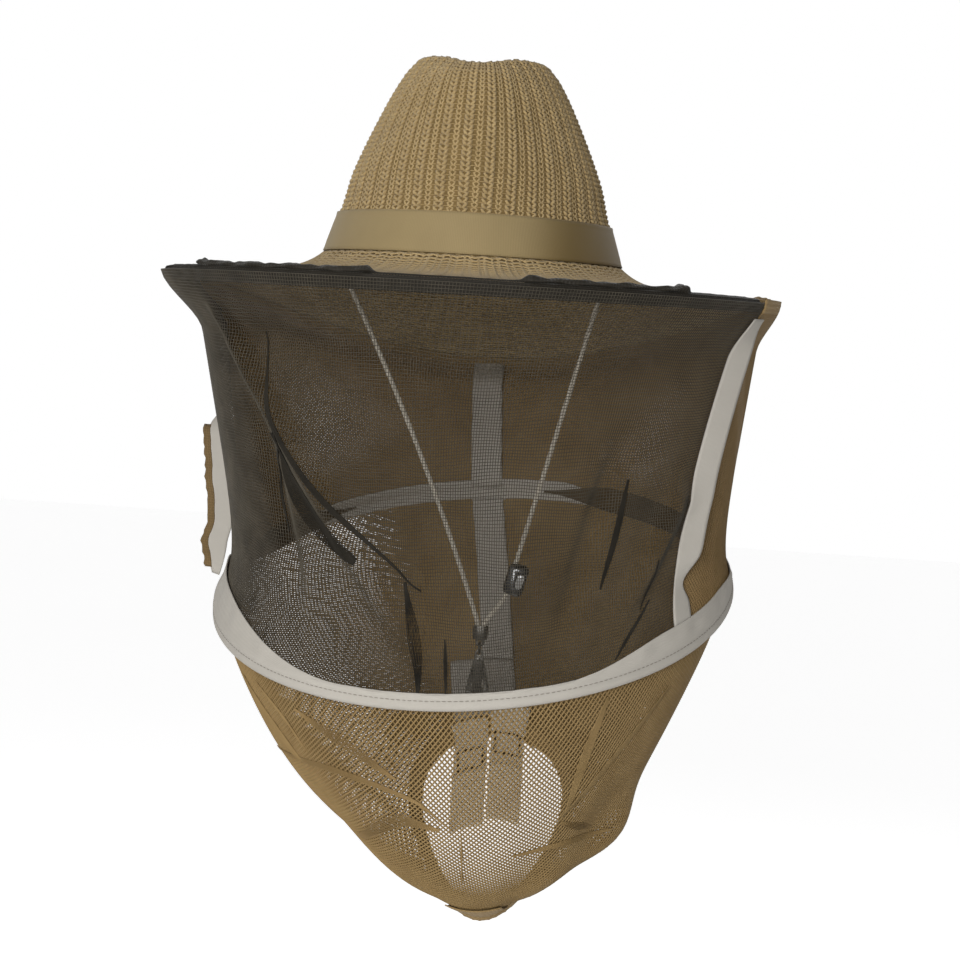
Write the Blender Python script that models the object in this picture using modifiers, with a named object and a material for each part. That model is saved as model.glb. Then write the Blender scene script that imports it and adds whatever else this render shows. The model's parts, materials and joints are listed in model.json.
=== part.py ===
"""Beekeeping veil: a knitted hat with a mesh veil, a hoop at the collar and a netting pouch below it.

Metres, +Z up. The origin is the middle of the head opening, where the crown meets the brim.
The wearer looks along -Y, and +X is on the right when the veil is seen from the front.
Angles round the hat run from 0 at the front, through +90 degrees at +X, to 180 at the back.
"""

import math

import bmesh
import bpy
from mathutils import Matrix, Vector

MM = 0.001
COLLECTION = "beekeeping_veil"

# Shared fits
CLEARANCE = 0.4 * MM            # between pieces that are sewn or seated together
CLOTH = 0.7 * MM                # folded hems and tapes
NET = 0.8 * MM                  # netting, as thick as its knots

# Crown: height above the brim, half width, half length in front and behind
CROWN_STATIONS = (
    (0.000, 0.0850, 0.1015, 0.1015),
    (0.012, 0.0836, 0.1005, 0.1008),
    (0.024, 0.0800, 0.0978, 0.0988),
    (0.038, 0.0754, 0.0938, 0.0962),
    (0.058, 0.0700, 0.0890, 0.0926),
    (0.092, 0.0552, 0.0778, 0.0842),
    (0.113, 0.0440, 0.0686, 0.0746),
    (0.1222, 0.0366, 0.0592, 0.0652),
)
CROWN_WALL = 2.2 * MM
CROWN_ROWS = 8                  # rows of the side wall
CROWN_TOP_SHARES = (0.72, 0.40)  # rings of the dented top, as shares of the rim
CROWN_DENT = 11 * MM            # the hollow of the top
CREASE_DEPTH = 9 * MM           # how far the crease cuts the rim, in front and behind
CREASE_SPREAD = 0.50
PINCH_DEPTH = 7 * MM            # the two dents beside the front of the crown
PINCH_ANGLE = math.radians(38)
PINCH_SPREAD = math.radians(24)
CROWN_POINTS = 40
RING_POINTS = 54                # points round the brim and the hoop

# Bands of the crown
SWEATBAND_HEIGHT = 30 * MM
SWEATBAND_THICKNESS = 1.6 * MM
HATBAND_FOOT = 11.5 * MM        # lower edge above the brim
HATBAND_WIDTH = 22 * MM
HATBAND_THICKNESS = 0.9 * MM
BAND_EASE = 0.7 * MM            # room for the crown's curve behind the bands

# Brim
BRIM_HALF_WIDTH = 170.5 * MM
BRIM_HALF_LENGTH = 184 * MM
BRIM_THICKNESS = 2.4 * MM
BRIM_EDGE_DROP = 4.5 * MM       # edge below the head opening, in front and at the sides
BRIM_REAR_DIP = 45 * MM         # further drop at the back, where the short rear panel pulls
BRIM_ROOT_RISE = 10 * MM        # the brim turns up where it meets the crown
BRIM_ROOT_CURVE = 7
BRIM_SHARES = (0.004, 0.13, 0.45, 1)
BRIM_WIRE_RADIUS = 1.1 * MM
TOP_HEM_ABOVE = 12 * MM         # how far the hem lies on the brim
TOP_HEM_BELOW = 6 * MM

# Lower hoop
HOOP_RADIUS = 148 * MM
HOOP_CENTRE = Vector((0.011, 0.000, -0.1785))
HOOP_PITCH = math.radians(16.5)  # the front hangs lower than the back
HOOP_ROLL = math.radians(-4.9)   # the veil hangs a little askew
HOOP_WIRE_RADIUS = 1.5 * MM
HOOP_TAPE_OUTSIDE = 5.5 * MM     # height of the white tape above the wire, where the netting leaves it
HOOP_TAPE_INSIDE = 5 * MM
HOOP_TAPE_EASE = 0.6 * MM        # room beside the netting in its fold
HOOP_TAPE_REACH = 1.2 * MM       # how far its outer side goes on up the netting
# Where it goes further up: the angles where that starts, is full, starts to end and ends, and how far
HOOP_TAPE_RISES = (
    (math.radians(-118), math.radians(-96), math.radians(-72), math.radians(-24), 18 * MM),
    (math.radians(22), math.radians(50), math.radians(71), math.radians(96), 9.5 * MM),
)
VEIL_TUCK = 2 * MM               # depth of the veil's edge inside the folded tape

# Veil between the brim and the hoop
# Seams at the brim, half way down and at the hoop
SEAM_LEFT = (math.radians(-105), math.radians(-97), math.radians(-89))
SEAM_RIGHT = (math.radians(68), math.radians(57), math.radians(54))
SEAM_GAP = math.radians(0.6)
CENTRE_FRONT = (0.0, 0.0, 0.0)
CENTRE_BACK = (math.pi, math.pi, math.pi)
CENTRE_PATCH = (math.pi, math.pi + 0.07, math.pi + 0.15)   # the patch sits a little to one side
FRONT_GAPS = (12, 6)             # openings of the front's netting across and down, far larger than the real ones
FRONT_GAP_SHARES = (0.06, 0.92)  # shares of the height between which they are
FRONT_BAR = 0.26                 # share of the netting that stays between two of them
REAR_COLUMNS = 25
VEIL_SHARES = (0, 0.045, 0.17, 0.27, 0.39, 0.51, 0.63, 0.75, 0.86, 0.94, 1)
VEIL_HEM_GAP = 1 * MM            # between the netting and the brim's hem
FOLD_FADE = 0.2                  # share of the height over which the folds fade at the hoop
VEIL_WAIST = 13.5 * MM           # how far the veil falls in below the brim
VEIL_WAIST_SKEW = 4.5 * MM       # more of it on the left
VEIL_WAIST_REACH = 0.22          # share of the height over which it falls in
VEIL_WAIST_CURVE = 8             # how late it comes out again to the hoop
# Folds of the slack front: angle and share at both ends in degrees, width and depth
FRONT_FOLDS = (
    (-50, 0.12, -10, 0.86, 9 * MM, 9 * MM),
    (-44, 0.38, -38, 0.78, 7 * MM, -6 * MM),
    (34, 0.42, 22, 0.92, 8 * MM, -8 * MM),
    (50, 0.58, 38, 0.84, 9 * MM, 7 * MM),
    (-7, 0.66, -8, 0.98, 7 * MM, 7 * MM),
)
SEAM_TAPE_WIDTH = 15 * MM
SEAM_TAPE_GAP = 1.5 * MM         # between a seam's tape and the hoop's
BACK_TAPE_WIDTH = 20 * MM
TAPE_THICKNESS = 0.7 * MM
TAPE_LIFT = 1.7 * MM             # tape's middle above the netting's middle
LOOSE_EASE = 0.12                # share of the height over which a tape comes loose
LEFT_TAPE_LOOSE = (0.33, 0.93)   # shares between which the left tape stands out
LEFT_TAPE_REACH = 15 * MM
RIGHT_TAPE_LOOSE = (0.05, 0.86)  # shares between which the right tape turns to the front
RIGHT_TAPE_TURN = math.radians(28)

# Pouch below the hoop and its elasticated hem
HEM_CENTRE = Vector((0.029, 0.000, -0.315))
HEM_HALF_WIDTH = 42 * MM
HEM_HALF_LENGTH = 66 * MM
HEM_TAPER = 0.34                 # narrower in front by this share, wider behind
HEM_PITCH = math.radians(39)
HEM_INSLOPE = 0.5                # the wall's run inwards for its fall at the hem
HEM_ELASTIC_RADIUS = 1.6 * MM
HEM_CASING_HEIGHT = 9 * MM
HEM_TUCK = 5 * MM
POUCH_SHARES = (0.08, 0.21, 0.35, 0.50, 0.65, 0.79, 0.91, 1)
POUCH_COLUMNS = 48
POUCH_BULGE = 13.2 * MM
POUCH_BULGE_SKEW = 3.5 * MM      # more of it on the left
POUCH_CORNER = (math.radians(52), 0.74)   # a soft corner on the right: angle and share
POUCH_CORNER_DEPTH = 16 * MM
POUCH_FRONT_SAG = 22 * MM
POUCH_GATHERS = 12
POUCH_GATHER_DEPTH = 3.5 * MM
POUCH_LAP = 5 * MM               # lap of the pouch inside the hoop's tape

# Straps and patches at the hem
PATCH_WIDTH = 40 * MM
PATCH_TOP = 0.76                 # share of the pouch's wall where the patch begins
STRAP_WIDTH = 22 * MM
STRAP_LENGTH = 50 * MM
STRAP_THICKNESS = 1.2 * MM
STRAP_FOLD_RADIUS = 1.7 * MM
STRAP_SEWN = 22 * MM             # upper end above the hem
STRAP_BEND = 11 * MM             # where it leaves the patch, above the hem
STRAP_OFFSETS = (-18 * MM, 6 * MM)
STRAP_DROPS = (10 * MM, 0.0)     # the left strap is sewn lower
FRONT_PATCH_WIDTH = 30 * MM
FRONT_PATCH_TOP = 0.86

# Chin cord, with the crimp and clip that hang on it
CORD_RADIUS = 1.5 * MM
CORD_POINTS = 7
CORD_TAB_DROP = 8 * MM
CORD_TAB_REACH = {-1: 73.0 * MM, 1: 76.0 * MM}   # each tab's end from the middle
CORD_BOW = 4 * MM                # the left cord hangs slack
LOCK_PLACE = Vector((0.0330, 0.0, -0.171))   # on the right cord, which bends below the lock
LOCK_BEND = 12 * MM              # bend below the lock's middle
CRIMP_TOP = Vector((0.017, 0.0, -0.2000))
CRIMP_WALL = 0.7 * MM
CRIMP_HEIGHT = 8 * MM
CRIMP_FLOOR = 2 * MM
CRIMP_CORD_SPREAD = 1.75 * MM    # each cord's end from the middle of the crimp
EYE_DROP = 9.8 * MM              # eye below the crimp's top
EYE_HOLE_RADIUS = 1.15 * MM
EYE_TAB_RADIUS = 2.6 * MM
EYE_TAB_THICKNESS = 1.4 * MM
TAB_WIDTH = 12 * MM              # loops that tie the cord to the sweatband
TAB_LENGTH = 20 * MM
TAB_BEND = 5 * MM                # above the brim, where the loop leaves the sweatband
TAB_THICKNESS = 1.0 * MM

RING_RADIUS = 3.2 * MM
RING_WIRE_RADIUS = 0.7 * MM

# Clip, measured down from the eye
CLIP_SHEET = 0.9 * MM
CLIP_HOLE_DROP = 2 * RING_RADIUS
CLIP_TOP_RADIUS = 2.5 * MM
CLIP_LENGTH = 31 * MM
CLIP_FOOT_HALF_WIDTH = 7 * MM
CLIP_LEG_WIDTH = 2.6 * MM
CLIP_WINDOW_TOP = 11.5 * MM
CLIP_CROSSBAR = 4.5 * MM
CLIP_PIVOT_DROP = 16 * MM
CLIP_KNUCKLE_RADIUS = 2.0 * MM
CLIP_LIP = 2.6 * MM              # how far the fixed jaw reaches forward
CLIP_PIN_RADIUS = 0.7 * MM
CLIP_LEVER_HALF_WIDTH = 2.85 * MM
CLIP_THUMB_RISE = 6 * MM         # thumb tab above the pivot
CLIP_SPRING_WIRE = 0.25 * MM
CLIP_SPRING_RADIUS = 1.35 * MM
CLIP_SPRING_TURNS = 2
CLIP_SPRING_PITCH = 1.0 * MM
CLIP_SPRING_LEG = 4.0 * MM

# Cord lock on the right cord
LOCK_LENGTH = 19 * MM
LOCK_WIDTH = 12 * MM
LOCK_DEPTH = 8.5 * MM
LOCK_ROUND = 3.4 * MM
LOCK_BORE_OFFSET = 2.9 * MM      # the cord runs along one side of the body
LOCK_BORE_RADIUS = CORD_RADIUS + CLEARANCE
BUTTON_LENGTH = 9 * MM
BUTTON_WIDTH = 4.4 * MM
BUTTON_OFFSET = 2.5 * MM
BUTTON_PROUD = 1.3 * MM
BUTTON_HEIGHT = 3.6 * MM
BUTTON_POCKET_DEPTH = 5.2 * MM
BUTTON_ROUND = 0.5 * MM
LOCK_SPRING_WIRE = 0.25 * MM
LOCK_SPRING_RADIUS = 1.2 * MM
LOCK_SPRING_TURNS = 2
LOCK_SPRING_PITCH = 0.95 * MM
CURL_POINTS = 10

STRAW = (0.330, 0.225, 0.095)
RIBBON = (0.215, 0.155, 0.062)
BLACK_MESH = (0.012, 0.010, 0.008)
KHAKI_NET = (0.230, 0.140, 0.045)
WHITE_TAPE = (0.620, 0.600, 0.560)
STEEL = (0.450, 0.440, 0.420)
BLACK_PLASTIC = (0.010, 0.010, 0.010)
GREY_PLASTIC = (0.300, 0.295, 0.285)
CORD_WHITE = (0.680, 0.640, 0.560)


# Shared tools

def clear_scene():
    for obj in list(bpy.data.objects):
        bpy.data.objects.remove(obj, do_unlink=True)


def new_collection(name):
    made = bpy.data.collections.new(name)
    bpy.context.scene.collection.children.link(made)
    return made


def material(name, colour, roughness, metallic=0.0):
    made = bpy.data.materials.get(name)
    if made is None:
        made = bpy.data.materials.new(name)
        made.use_nodes = True
        shader = made.node_tree.nodes["Principled BSDF"]
        shader.inputs["Base Color"].default_value = (*colour, 1.0)
        shader.inputs["Roughness"].default_value = roughness
        shader.inputs["Metallic"].default_value = metallic
    return made


def finish(obj, collection, finish_material):
    for holder in list(obj.users_collection):
        holder.objects.unlink(obj)
    collection.objects.link(obj)
    obj.data.materials.clear()
    obj.data.materials.append(finish_material)
    return obj


def mesh_object(name, build):
    """A mesh object made by a function that fills a bmesh."""
    shape = bmesh.new()
    build(shape)
    bmesh.ops.recalc_face_normals(shape, faces=shape.faces)
    mesh = bpy.data.meshes.new(name)
    shape.to_mesh(mesh)
    shape.free()
    mesh.shade_smooth()
    mesh.set_sharp_from_angle(angle=math.radians(40))
    obj = bpy.data.objects.new(name, mesh)
    bpy.context.scene.collection.objects.link(obj)
    return obj


def loft(name, rows, closed, thickness, tip=None, gaps=()):
    """A cloth or sheet wall through rows of points, given its thickness about the middle.

    Gaps are the cells left open, as pairs of a row and a column.
    """
    def build(shape):
        grid = [[shape.verts.new(point) for point in row] for row in rows]
        for k, (lower, upper) in enumerate(zip(grid, grid[1:])):
            count = len(lower)
            for i in range(count if closed else count - 1):
                j = (i + 1) % count
                if (k, i) not in gaps:
                    shape.faces.new((lower[i], lower[j], upper[j], upper[i]))
        if tip is not None:
            top = shape.verts.new(tip)
            last = grid[-1]
            for i, corner in enumerate(last):
                shape.faces.new((corner, last[(i + 1) % len(last)], top))
    obj = mesh_object(name, build)
    wall = obj.modifiers.new("wall", "SOLIDIFY")
    wall.thickness = thickness
    wall.offset = 0.0
    return obj


def tube(name, points, radius, cyclic=False, resolution=2):
    """A round wire or cord along points."""
    curve = bpy.data.curves.new(name, "CURVE")
    curve.dimensions = "3D"
    curve.bevel_depth = radius
    curve.bevel_resolution = resolution
    curve.use_fill_caps = True
    spline = curve.splines.new("POLY")
    spline.points.add(len(points) - 1)
    for place, point in zip(spline.points, points):
        place.co = (*point, 1.0)
    spline.use_cyclic_u = cyclic
    obj = bpy.data.objects.new(name, curve)
    bpy.context.scene.collection.objects.link(obj)
    return obj


def plate(name, outlines, thickness, frame):
    """A flat sheet cut to closed outlines in the XY plane of its frame, made a mesh."""
    curve = bpy.data.curves.new(name, "CURVE")
    curve.dimensions = "2D"
    curve.fill_mode = "BOTH"
    curve.extrude = thickness / 2
    for outline in outlines:
        spline = curve.splines.new("POLY")
        spline.points.add(len(outline) - 1)
        for place, (x, y) in zip(spline.points, outline):
            place.co = (x, y, 0.0, 1.0)
        spline.use_cyclic_u = True
    drawn = bpy.data.objects.new(name, curve)
    bpy.context.scene.collection.objects.link(drawn)
    drawn.matrix_world = frame
    return as_mesh(drawn)


def as_mesh(obj):
    """The evaluated shape of an object as a welded mesh object in its place."""
    bpy.context.view_layer.update()
    graph = bpy.context.evaluated_depsgraph_get()
    mesh = bpy.data.meshes.new_from_object(obj.evaluated_get(graph))
    mesh.transform(obj.matrix_world)
    name = obj.name
    bpy.data.objects.remove(obj, do_unlink=True)
    shape = bmesh.new()
    shape.from_mesh(mesh)
    bmesh.ops.remove_doubles(shape, verts=shape.verts, dist=0.01 * MM)
    bmesh.ops.recalc_face_normals(shape, faces=shape.faces)
    shape.to_mesh(mesh)
    shape.free()
    made = bpy.data.objects.new(name, mesh)
    bpy.context.scene.collection.objects.link(made)
    return made


def cylinder(name, radius, length, frame, segments=20):
    """A cylinder along the Z axis of its frame, about its origin."""
    def build(shape):
        bmesh.ops.create_cone(shape, cap_ends=True, segments=segments, radius1=radius, radius2=radius,
                              depth=length, matrix=frame)
    return mesh_object(name, build)


def block(name, size, frame):
    def build(shape):
        scale = Matrix.Diagonal((*size, 1.0))
        bmesh.ops.create_cube(shape, size=1.0, matrix=frame @ scale)
    return mesh_object(name, build)


def rounded(obj, width, segments):
    bevel = obj.modifiers.new("rounded edges", "BEVEL")
    bevel.width = width
    bevel.segments = segments
    return obj


def cut(obj, *cutters):
    combine(obj, "DIFFERENCE", cutters)


def join(obj, *others):
    combine(obj, "UNION", others)


def combine(obj, operation, others):
    for other in others:
        change = obj.modifiers.new(other.name, "BOOLEAN")
        change.operation = operation
        change.object = other
        other.hide_render = True
        other.display_type = "WIRE"
        finish(other, CUTTERS, material("cutter", STEEL, 0.5))


def along_curve(stations, value):
    """Smooth values through stations whose first number is the place along them."""
    places = [station[0] for station in stations]
    value = min(max(value, places[0]), places[-1])
    i = max(k for k in range(len(places) - 1) if places[k] <= value)
    before, after = max(i - 1, 0), min(i + 2, len(places) - 1)
    span = places[i + 1] - places[i]
    t = (value - places[i]) / span
    found = []
    for k in range(1, len(stations[0])):
        start, end = stations[i][k], stations[i + 1][k]
        slope_in = (end - stations[before][k]) / (places[i + 1] - places[before]) * span
        slope_out = (stations[after][k] - start) / (places[after] - places[i]) * span
        found.append((2 * t**3 - 3 * t**2 + 1) * start + (t**3 - 2 * t**2 + t) * slope_in
                     + (3 * t**2 - 2 * t**3) * end + (t**3 - t**2) * slope_out)
    return found


def smooth(value):
    value = min(max(value, 0.0), 1.0)
    return value * value * (3 - 2 * value)


def angles(count, start=-math.pi, end=math.pi, both_ends=False):
    steps = count - 1 if both_ends else count
    return [start + (end - start) * i / steps for i in range(count)]


def panel_angles(start, end):
    """Places along the brim between two seams: the ring's own points and the panel's edges."""
    step = 2 * math.pi / RING_POINTS
    inner = [k * step for k in range(-RING_POINTS, RING_POINTS)]
    within = [angle for angle in inner if start + 1.5 * SEAM_GAP < angle < end - 1.5 * SEAM_GAP]
    return [start + SEAM_GAP] + within + [end - SEAM_GAP]


def seam_angle(seam, share):
    """Where a seam is, at a share of the way from the brim to the hoop."""
    brim, middle, hoop = seam
    return brim * (1 - share) * (1 - 2 * share) + 4 * middle * share * (1 - share) + hoop * share * (2 * share - 1)


def outward(angle):
    return Vector((math.sin(angle), -math.cos(angle), 0.0))


def frame_of(origin, x_axis, y_axis, z_axis):
    made = Matrix((x_axis, y_axis, z_axis)).transposed().to_4x4()
    made.translation = origin
    return made


def folded_wrap(name, edge, core_radius, tall, short, thickness, closed, ease=0.0, crest=()):
    """A tape or hem folded round a wire: edge gives each place, the way into the fold, and its tall side.

    Its sides are set further apart by the ease. The tall one goes on to the crest, a row of points, if there is one.
    """
    bend = core_radius + 1.4 * CLEARANCE + thickness / 2
    side = NET / 2 + CLEARANCE + ease + thickness / 2
    neck = 1.3 * bend
    bend_angles = [math.radians(45 - 67.5 * k) for k in range(5)]
    path = [(side, tall), (side, neck)]
    path += [(bend * math.cos(a), bend * math.sin(a)) for a in bend_angles]
    path += [(-side, neck), (-side, short)]
    rows = [[place + across * p + inward * d for place, inward, across in edge] for p, d in path]
    return loft(name, [list(crest)] + rows if crest else rows, closed, thickness)


# Shapes that several pieces share

def crown_point(angle, height, lift=0.0):
    """A point of the crown's outer face, moved outwards by lift."""
    half_width, front, back = along_curve(CROWN_STATIONS, height)
    length = front if math.cos(angle) > 0 else back
    rise = smooth(height / CROWN_STATIONS[-1][0])
    pinch = sum(math.exp(-((angle - side * PINCH_ANGLE) / PINCH_SPREAD) ** 2) for side in (-1, 1))
    inwards = PINCH_DEPTH * pinch * rise * (1 - 0.4 * rise)
    point = Vector((half_width * math.sin(angle), -length * math.cos(angle), 0.0))
    across = Vector((math.sin(angle) / half_width, -math.cos(angle) / length, 0.0)).normalized()
    point += across * (lift - inwards)
    point.z = height
    return point


def brim_point(angle, share):
    """A point of the brim's middle surface, from the crown (0) to its edge (1)."""
    root = crown_point(angle, 0.0, CLEARANCE)
    back = max(0.0, -math.cos(angle))
    edge_height = -BRIM_EDGE_DROP - BRIM_REAR_DIP * back ** 2
    edge = Vector((BRIM_HALF_WIDTH * math.sin(angle), -BRIM_HALF_LENGTH * math.cos(angle), 0.0))
    point = root.lerp(edge, share)
    point.z = BRIM_ROOT_RISE * (1 - share) ** BRIM_ROOT_CURVE + edge_height * share
    return point


def brim_rim(angle):
    """The brim's edge, the way inwards along the brim, and the way up from it."""
    edge = brim_point(angle, 1.0)
    inward = (brim_point(angle, 0.94) - edge).normalized()
    up = inward.cross(Vector((math.cos(angle), math.sin(angle), 0.0))).normalized()
    return edge, inward, up if up.z > 0 else -up


def brim_wire_place(angle):
    edge, inward, up = brim_rim(angle)
    return edge - inward * (BRIM_WIRE_RADIUS + CLEARANCE)


HOOP_FRAME = (Matrix.Translation(HOOP_CENTRE) @ Matrix.Rotation(HOOP_ROLL, 4, "Y")
              @ Matrix.Rotation(HOOP_PITCH, 4, "X"))
HOOP_NORMAL = HOOP_FRAME.to_3x3() @ Vector((0, 0, 1))
HEM_FRAME = Matrix.Translation(HEM_CENTRE) @ Matrix.Rotation(HEM_PITCH, 4, "X")


def hoop_point(angle, grow=0.0, rise=0.0):
    radius = HOOP_RADIUS + grow
    return HOOP_FRAME @ Vector((radius * math.sin(angle), -radius * math.cos(angle), rise))


def hoop_outward(angle):
    return HOOP_FRAME.to_3x3() @ outward(angle)


def hem_point(angle):
    half_width = HEM_HALF_WIDTH * (1 - HEM_TAPER * math.cos(angle))
    return HEM_FRAME @ Vector((half_width * math.sin(angle), -HEM_HALF_LENGTH * math.cos(angle), 0.0))


def fold_depth(angle, share):
    """How far the folds of the front push the netting out or in."""
    total = 0.0
    for start_angle, start, end_angle, end, width, depth in FRONT_FOLDS:
        t = min(max((share - start) / (end - start), 0.0), 1.0)
        middle = math.radians(start_angle + (end_angle - start_angle) * t)
        aside = HOOP_RADIUS * (angle - middle) / width
        ends = smooth((share - start + 0.12) / 0.2) * smooth((end + 0.1 - share) / 0.2)
        total += depth * math.exp(-aside * aside) * ends
    return total


def veil_point(angle, share):
    """A point of the veil's middle surface, from the brim's hem (0) to the hoop's tape (1)."""
    edge, inward, up = brim_rim(angle)
    hem_reach = 2 * BRIM_WIRE_RADIUS + 3 * CLEARANCE + CLOTH + NET / 2
    top = edge - inward * (hem_reach + VEIL_HEM_GAP)
    bottom = hoop_point(angle, 0.0, HOOP_TAPE_OUTSIDE)
    waist = VEIL_WAIST - VEIL_WAIST_SKEW * math.sin(angle)
    falls_in = waist * smooth(share / VEIL_WAIST_REACH) * (1 - share ** VEIL_WAIST_CURVE)
    in_front = smooth((math.cos(angle) + 0.1) / 0.3)
    bulge = fold_depth(angle, share) * in_front * smooth(share / 0.15) * smooth((1 - share) / FOLD_FADE)
    return top.lerp(bottom, share) + outward(angle) * (bulge - falls_in)


def hoop_tape_share(angle, above=0.0):
    """The share of the veil at which the hoop's tape ends, or at a place above its end."""
    facing = math.remainder(angle, 2 * math.pi)
    reach = HOOP_TAPE_REACH + above
    for start, full, falling, end, rise in HOOP_TAPE_RISES:
        reach += rise * smooth((facing - start) / (full - start)) * smooth((end - facing) / (end - falling))
    return 1.0 - reach / (veil_point(angle, 1.0) - veil_point(angle, 0.0)).length


def lifted(surface, angle, share, lift):
    """A point off a surface of angle and share, along its normal."""
    step = 0.01
    low, high = max(share - step, 0.0), min(share + step, 1.0)
    down = surface(angle, high) - surface(angle, low)
    aside = surface(angle + step, share) - surface(angle - step, share)
    normal = down.cross(aside).normalized()
    if normal.dot(outward(angle)) < 0:
        normal.negate()
    return surface(angle, share) + normal * lift


def pouch_top(angle, rise):
    """The pouch's lapped edge behind the hoop's tape."""
    bend = HOOP_WIRE_RADIUS + CLEARANCE + CLOTH
    return hoop_point(angle, -(bend + CLEARANCE + NET / 2), rise)


def pouch_to_hem(angle):
    """The way in which the pouch's wall runs down into the hem."""
    slope = outward(angle) * -HEM_INSLOPE - Vector((0, 0, 1))
    return (HEM_FRAME.to_3x3() @ slope).normalized()


def pouch_point(angle, share):
    """A point of the pouch's middle surface, from the hoop (0) to the hem's casing (1)."""
    start = pouch_top(angle, -3 * MM)
    end = hem_point(angle) - pouch_to_hem(angle) * (HEM_CASING_HEIGHT + 1.5 * MM)
    belly = 4 * share * (1 - share)
    front = max(0.0, math.cos(angle))
    calm = smooth((abs(math.sin(angle)) - 0.25) / 0.3)
    gathers = math.cos(POUCH_GATHERS * angle) * smooth(share * 1.1) * smooth((1 - share) / 0.15) * calm
    point = start.lerp(end, share)
    turn, place = POUCH_CORNER
    corner = math.exp(-((angle - turn) / 0.4) ** 2 - ((share - place) / 0.16) ** 2) * smooth((1 - share) / 0.15)
    bulge = POUCH_BULGE - POUCH_BULGE_SKEW * math.sin(angle)
    point += outward(angle) * (bulge * belly + POUCH_GATHER_DEPTH * gathers + POUCH_CORNER_DEPTH * corner)
    point.z -= POUCH_FRONT_SAG * belly * front
    return point


# Hat

def build_crown(parts):
    heights = [CROWN_STATIONS[-1][0] * k / CROWN_ROWS for k in range(CROWN_ROWS + 1)]
    round_hat = angles(CROWN_POINTS)
    rows = [[crown_point(angle, height, -CROWN_WALL / 2) for angle in round_hat] for height in heights]
    for row, share in ((rows[-2], 0.25), (rows[-1], 1.0)):
        for angle, point in zip(round_hat, row):
            point.z -= CREASE_DEPTH * share * math.exp(-(math.sin(angle) / CREASE_SPREAD) ** 2)
    rim = rows[-1]
    middle = sum(rim, Vector()) / len(rim)
    for share in CROWN_TOP_SHARES:
        ring = [middle.lerp(point, share) for point in rim]
        for point in ring:
            point.z -= CROWN_DENT * smooth(1 - share)
        rows.append(ring)
    tip = middle - Vector((0, 0, CROWN_DENT))
    crown = loft("crown", rows, True, CROWN_WALL, tip)
    finish(crown, parts, material("straw", STRAW, 0.85))


def band_rows(foot, top, lift):
    steps = 2
    heights = [foot + (top - foot) * k / steps for k in range(steps + 1)]
    return [[crown_point(angle, height, lift) for angle in angles(CROWN_POINTS)] for height in heights]


def build_bands(parts):
    inside = -(CROWN_WALL + CLEARANCE + BAND_EASE + SWEATBAND_THICKNESS / 2)
    sweatband = loft("sweatband", band_rows(1 * MM, 1 * MM + SWEATBAND_HEIGHT, inside), True,
                     SWEATBAND_THICKNESS)
    finish(sweatband, parts, material("sweatband cloth", STRAW, 0.9))
    outside = CLEARANCE + BAND_EASE + HATBAND_THICKNESS / 2
    hatband = loft("hatband", band_rows(HATBAND_FOOT, HATBAND_FOOT + HATBAND_WIDTH, outside), True,
                   HATBAND_THICKNESS)
    finish(hatband, parts, material("ribbon", RIBBON, 0.6))


def build_brim(parts):
    rows = [[brim_point(angle, share) for angle in angles(RING_POINTS)] for share in BRIM_SHARES]
    finish(loft("brim", rows, True, BRIM_THICKNESS), parts, material("straw", STRAW, 0.85))


def build_wire_ring(parts, name, place, radius):
    """A wire welded into a ring."""
    ring = [place(angle) for angle in angles(RING_POINTS)]
    finish(tube(name, ring, radius, cyclic=True, resolution=1), parts, material("steel wire", STEEL, 0.35, 1.0))


def build_top_hems(parts):
    front = hem_over_brim("front_veil_hem", panel_angles(SEAM_LEFT[0], SEAM_RIGHT[0]))
    finish(front, parts, material("black mesh", BLACK_MESH, 0.8))
    rear = hem_over_brim("rear_veil_hem", panel_angles(SEAM_RIGHT[0], SEAM_LEFT[0] + 2 * math.pi))
    finish(rear, parts, material("khaki net", KHAKI_NET, 0.85))


def hem_over_brim(name, places):
    """Netting folded over the brim's edge and its wire."""
    side = BRIM_THICKNESS / 2 + CLEARANCE + CLOTH / 2
    bend = BRIM_WIRE_RADIUS + CLEARANCE + CLOTH / 2
    reach = 2 * BRIM_WIRE_RADIUS + 2 * CLEARANCE + CLOTH / 2
    path = ((side, TOP_HEM_ABOVE), (side, 0.4 * TOP_HEM_ABOVE), (side, -0.5 * bend),
            (0.75 * side, -0.8 * reach), (0.0, -reach), (-0.75 * side, -0.8 * reach),
            (-side, -0.5 * bend), (-side, TOP_HEM_BELOW))
    rims = [brim_rim(angle) for angle in places]
    rows = [[edge + up * up_by + inward * in_by for edge, inward, up in rims] for up_by, in_by in path]
    return loft(name, rows, False, CLOTH)


# Veil

def gap_edges(count, start, end):
    """The edges of a row of openings, between the outer edges of a sheet."""
    step = (end - start) / count
    bar = FRONT_BAR * step / 2
    edges = [start + k * step + side for k in range(count) for side in (bar, step - bar)]
    return [0.0] + edges + [1.0]


def veil_panel(name, start, end, turns, places, shares, gaps=()):
    """A panel of netting between two seams, through places across it and shares of its height."""
    rows = []
    for share in shares:
        first = seam_angle(start, share) + SEAM_GAP
        last = seam_angle(end, share) + 2 * math.pi * turns - SEAM_GAP
        across = [first + (last - first) * place for place in places]
        rows.append([veil_point(angle, share) for angle in across])
    rows.append([hoop_point(angle, 0.0, HOOP_TAPE_OUTSIDE - VEIL_TUCK) for angle in across])
    return loft(name, rows, False, NET, gaps=gaps)


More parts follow.
